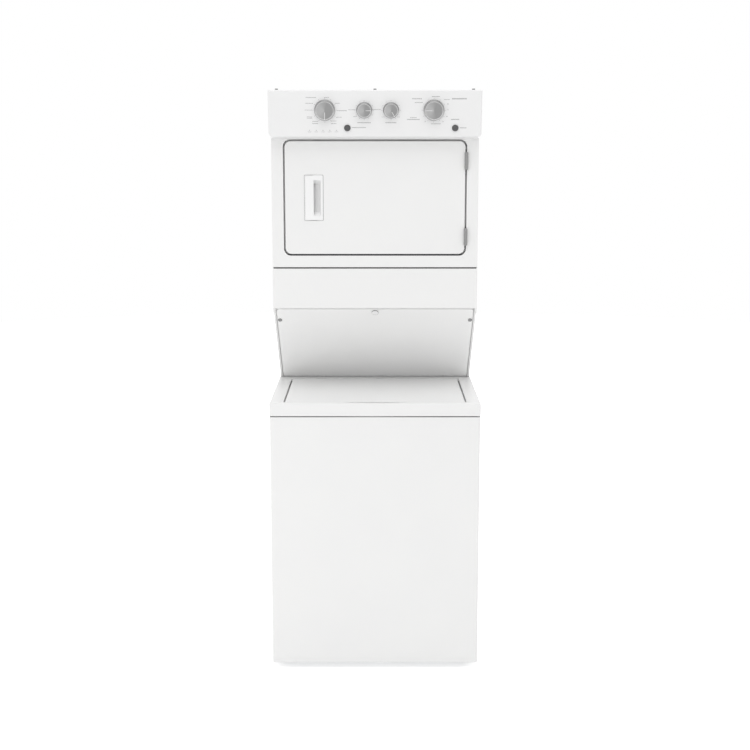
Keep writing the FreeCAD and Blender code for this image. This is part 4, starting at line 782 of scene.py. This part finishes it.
dial_joints = {joint["child"]: joint for joint in frame["joints"]}
face_out = -Vector(dial_joints["washer_cycle_knob"]["axis"]).normalized()
if face_out.y > 0:
    face_out = -face_out
face_up = face_out.cross(Vector((1, 0, 0))).normalized()
face_turn = Matrix((Vector((1, 0, 0)), face_up, face_out)).transposed().to_4x4()


def on_console(point, x=0.0, up=0.0, out=0.0, clock=0.0):
    """Matrix on the console's face: offsets in mm from a point of it, clock angle in degrees."""
    place = Vector(point) + (Vector((1, 0, 0)) * x + face_up * up + face_out * out) * MM
    return Matrix.Translation(place) @ face_turn @ Matrix.Rotation(math.radians(-clock), 4, "Z")


def spun_foil(name, centre):
    """Aluminium foil spun in a lathe: rings 1 mm apart as drawn, finer in fact, with a painted sheen that
    is paler on the left.
    """
    foil, shader, place = start_material(name, "#a4a4a4", 0.36, 0.45)
    local = add_node(foil, "Mapping", {"Vector": place, "Location": centre,
                                       "Rotation": face_turn.to_euler()}, vector_type="TEXTURE")
    parts = add_node(foil, "SeparateXYZ", {"Vector": local.outputs[0]}).outputs
    angle = add_node(foil, "Math", {0: parts["Y"], 1: parts["X"]}, operation="ARCTAN2")
    sheen_fan = add_node(foil, "Math", {0: angle.outputs[0]}, operation="COSINE")
    painted_sheen_share = add_node(foil, "MapRange", {"Value": sheen_fan.outputs[0], "From Min": -0.9, "From Max": 0.35,
                                            "To Min": 1.0, "To Max": 0.0})
    tool = add_node(foil, "TexWave", {"Vector": local.outputs[0], "Scale": 1 / (3.14 * MM)},
                    wave_type="RINGS", rings_direction="Z")
    # Painted sheen: the colour turns paler on the left of the face and darker on the right.
    tint(foil, shader, painted_sheen_share.outputs[0], "#888888", "#a3a3a3")
    relief(foil, shader, tool.outputs["Fac"], 0.01 * MM)
    return foil


FLUTES = 72                   # round a dial's grip


def on_flute(edge):
    """True for every second one of the edges that run up a dial's grip."""
    middle = middle_of(edge)
    step = math.degrees(math.atan2(middle.y, middle.x)) * FLUTES / 180
    return runs_along(edge, 2) and round(step) % 2 == 0


DIALS = {                     # cap radius in mm, clock angle of the pointer in degrees
    "washer_cycle_knob": (29.0, 180),
    "load_size_knob": (22.0, 90),
    "temperature_knob": (22.0, 150),
    "dryer_timer_knob": (29.0, 270),
}
for dial, (cap, clock) in DIALS.items():
    centre = Vector(dial_joints[dial]["pos_m"])
    paint(silver, dial)

    grip = turned_form([(cap + 0.45, 6.2), (cap + 0.95, 6.7), (cap + 0.6, 13), (cap + 0.02, 14.2)],
                       sides=2 * FLUTES)
    choose(grip, on_flute, "edges")
    bpy.ops.transform.resize(value=(0.987, 0.987, 1), center_override=(0, 0, 0))
    bpy.ops.object.mode_set(mode="OBJECT")
    grip.matrix_world = on_console(centre)
    finish_piece(grip, dial + "_grip", silver, dial, angle=20)

    bead = turned_form([(cap + 0.1, 14.4), (cap + 0.05, 15.6), (cap - 0.5, 16.8), (cap - 1.2, 16.9),
                        (cap - 1.8, 16.2), (cap - 1.9, 15.8)], sides=96)
    bead.matrix_world = on_console(centre)
    finish_piece(bead, dial + "_bead", bright, dial)

    disc = turned_form([(cap - 1.8, 15.9), (cap - 2.2, 16.55), (cap * 0.5, 16.5), (cap * 0.1, 16.4)],
                       sides=96)
    disc.matrix_world = on_console(centre)
    finish_piece(disc, dial + "_face", spun_foil(dial + "_spun_foil", centre), dial)

    pointer = start_block((-0.6 * MM, 0.6 * MM), (cap * 0.2 * MM, cap * 0.97 * MM),
                          (16.6 * MM, 17.4 * MM))
    round_corners(pointer, 2, 0.4 * MM, 3)
    round_off(pointer, 0.1 * MM, angle=40)
    pointer.matrix_world = on_console(centre, clock=clock)
    finish_piece(pointer, dial + "_pointer", pointer_white, dial)

# Start buttons: dark grey ABS caps, half matt.
button_grey = grained("dark_grey_abs_button", "#4a4a4b", 0.42, grain=(0.9, 2),
                      tones=("#444445", "#525253"), gloss=(0.36, 0.5), depth=0.01)
paint(button_grey, "washer_start_button", "dryer_start_button")

# ---- console print -------------------------------------------------------------------------------
# Screen-printed grey ink: ticks round the dials, plain numbers at the timer, and rows of short
# strokes where a real console has its words.
ink = grained("grey_screen_ink", "#8a8a8a", 0.55, grain=(0.6, 1), tones=("#7f7f7f", "#959595"))
INK_THICK = 0.12 * MM
LAYER = (-INK_THICK / 2, INK_THICK / 2)      # half sunk into the console's face


def join_prints(prints, name):
    """Joins printed marks into one piece."""
    bpy.ops.object.select_all(action="DESELECT")
    for mark in prints:
        mark.select_set(True)
    bpy.context.view_layer.objects.active = prints[0]
    bpy.ops.object.transform_apply()
    bpy.ops.object.join()
    finish_piece(bpy.context.object, name, ink, "frame")


def stroke_row(centre, left, right, up, height):
    """A row of letter-like strokes between two places beside a dial."""
    count = max(1, round((right - left) / 2.4))
    pitch = (right - left) / count * MM
    row = start_block((0, pitch * 0.62), (-height / 2 * MM, height / 2 * MM), LAYER)
    round_corners(row, 2, 0.2 * pitch, 1)
    bpy.ops.object.mode_set(mode="OBJECT")
    repeat = row.modifiers.new("letters", "ARRAY")
    repeat.count = count
    repeat.use_relative_offset = False
    repeat.use_constant_offset = True
    repeat.constant_offset_displace = (pitch, 0, 0)
    bpy.ops.object.modifier_apply(modifier=repeat.name)
    row.matrix_world = on_console(centre, left, up)
    return row


def tick(centre, clock, inner, outer):
    """A radial tick beside a dial."""
    mark = start_block((-0.45 * MM, 0.45 * MM), (inner * MM, outer * MM), LAYER)
    round_corners(mark, 2, 0.3 * MM, 2)
    bpy.ops.object.mode_set(mode="OBJECT")
    mark.matrix_world = on_console(centre, clock=clock)
    return mark


# Rows of strokes by dial, in mm: left and right end, height above the dial's centre, letter height.
PRINT = {
    "washer_cycle_knob": [
        (-61, -27, 40.5, 2.4), (-62, -37, 22.1, 2.2), (-65, -40, 0.5, 2.0), (-58, -40, -21.5, 2.2),
        (-58, -40, -25.5, 2.2), (-40, -21, -36.1, 2.2), (-40, -21, -42.8, 2.4), (-1, 15, 40.5, 2.0),
        (34, 50, 22.1, 2.0), (40, 72, -1.5, 2.4), (37, 55, -22.5, 2.2), (20, 38, -34.5, 2.0),
        (20, 38, -42.8, 2.2), (88, 134, -55.5, 2.6)],
    "load_size_knob": [
        (-51, -28, 1.5, 2.0), (26, 54, 2.5, 2.0), (-36, -23, -20.1, 2.0), (-22, 22, -39.9, 3.0)],
    "temperature_knob": [(-18, 18, -39.9, 3.0), (20, 30, -21.5, 1.8), (-30, -20, -21.5, 1.8)],
    "dryer_timer_knob": [
        (-71, -39, 36.5, 3.0), (-62, -36, 24.5, 2.4), (-87, -45, -29.5, 3.0), (-77, -55, -23.5, 2.2),
        (-7, 19, 43.5, 2.6), (32, 51, 34.1, 2.0), (58, 106, 36.5, 4.2), (56, 83, -29.3, 3.2),
        (-9, 23, -43.5, 2.6), (85, 107, -56.5, 3.0)],
}
for dial, rows in PRINT.items():
    centre = Vector(dial_joints[dial]["pos_m"])
    skirt = (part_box(dial)[1].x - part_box(dial)[0].x) / 2 / MM
    prints = [stroke_row(centre, *row) for row in rows]
    prints += [tick(centre, clock, skirt + 2.5, skirt + 5.5) for clock in range(0, 360, 30)]
    join_prints(prints, dial.replace("_knob", "_print"))

timer_centre = Vector(dial_joints["dryer_timer_knob"]["pos_m"])
numbers = []
for minutes, x, up in ((60, 42, 19.5), (50, 42, 1.5), (40, 40, -20.1), (20, 27, -36.1), (10, -31, -36.1)):
    bpy.ops.object.text_add()
    number = bpy.context.object
    number.data.body = str(minutes)
    number.data.size = 5 * MM
    number.data.extrude = INK_THICK / 2
    number.data.align_y = "CENTER"
    bpy.ops.object.convert(target="MESH")
    number.matrix_world = on_console(timer_centre, x, up)
    numbers.append(number)
join_prints(numbers, "timer_numbers")

# Status lamps: five frosted lenses in a row below the wash dial, snapped in from behind.
lens_plastic = grained("frosted_lamp_lens", "#c2c2c2", 0.3, grain=(0.5, 1), gloss=(0.22, 0.4))
wash_centre = Vector(dial_joints["washer_cycle_knob"]["pos_m"])
LAMPS = range(-50, 39, 22)    # their places beside the wash dial's centre, in mm
LAMPS_UP = -64.5
lens = turned_form([(1.9, -0.5), (1.9, 0.3), (1.5, 0.8), (0.6, 1.0)], sides=24)
set_out(lens, [on_console(wash_centre, x, LAMPS_UP) for x in LAMPS])
finish_piece(lens, "status_lamps", lens_plastic, "frame")
captions = [stroke_row(wash_centre, x - 6, x + 6, LAMPS_UP - 5, 1.6) for x in LAMPS]
join_prints(captions, "status_print")
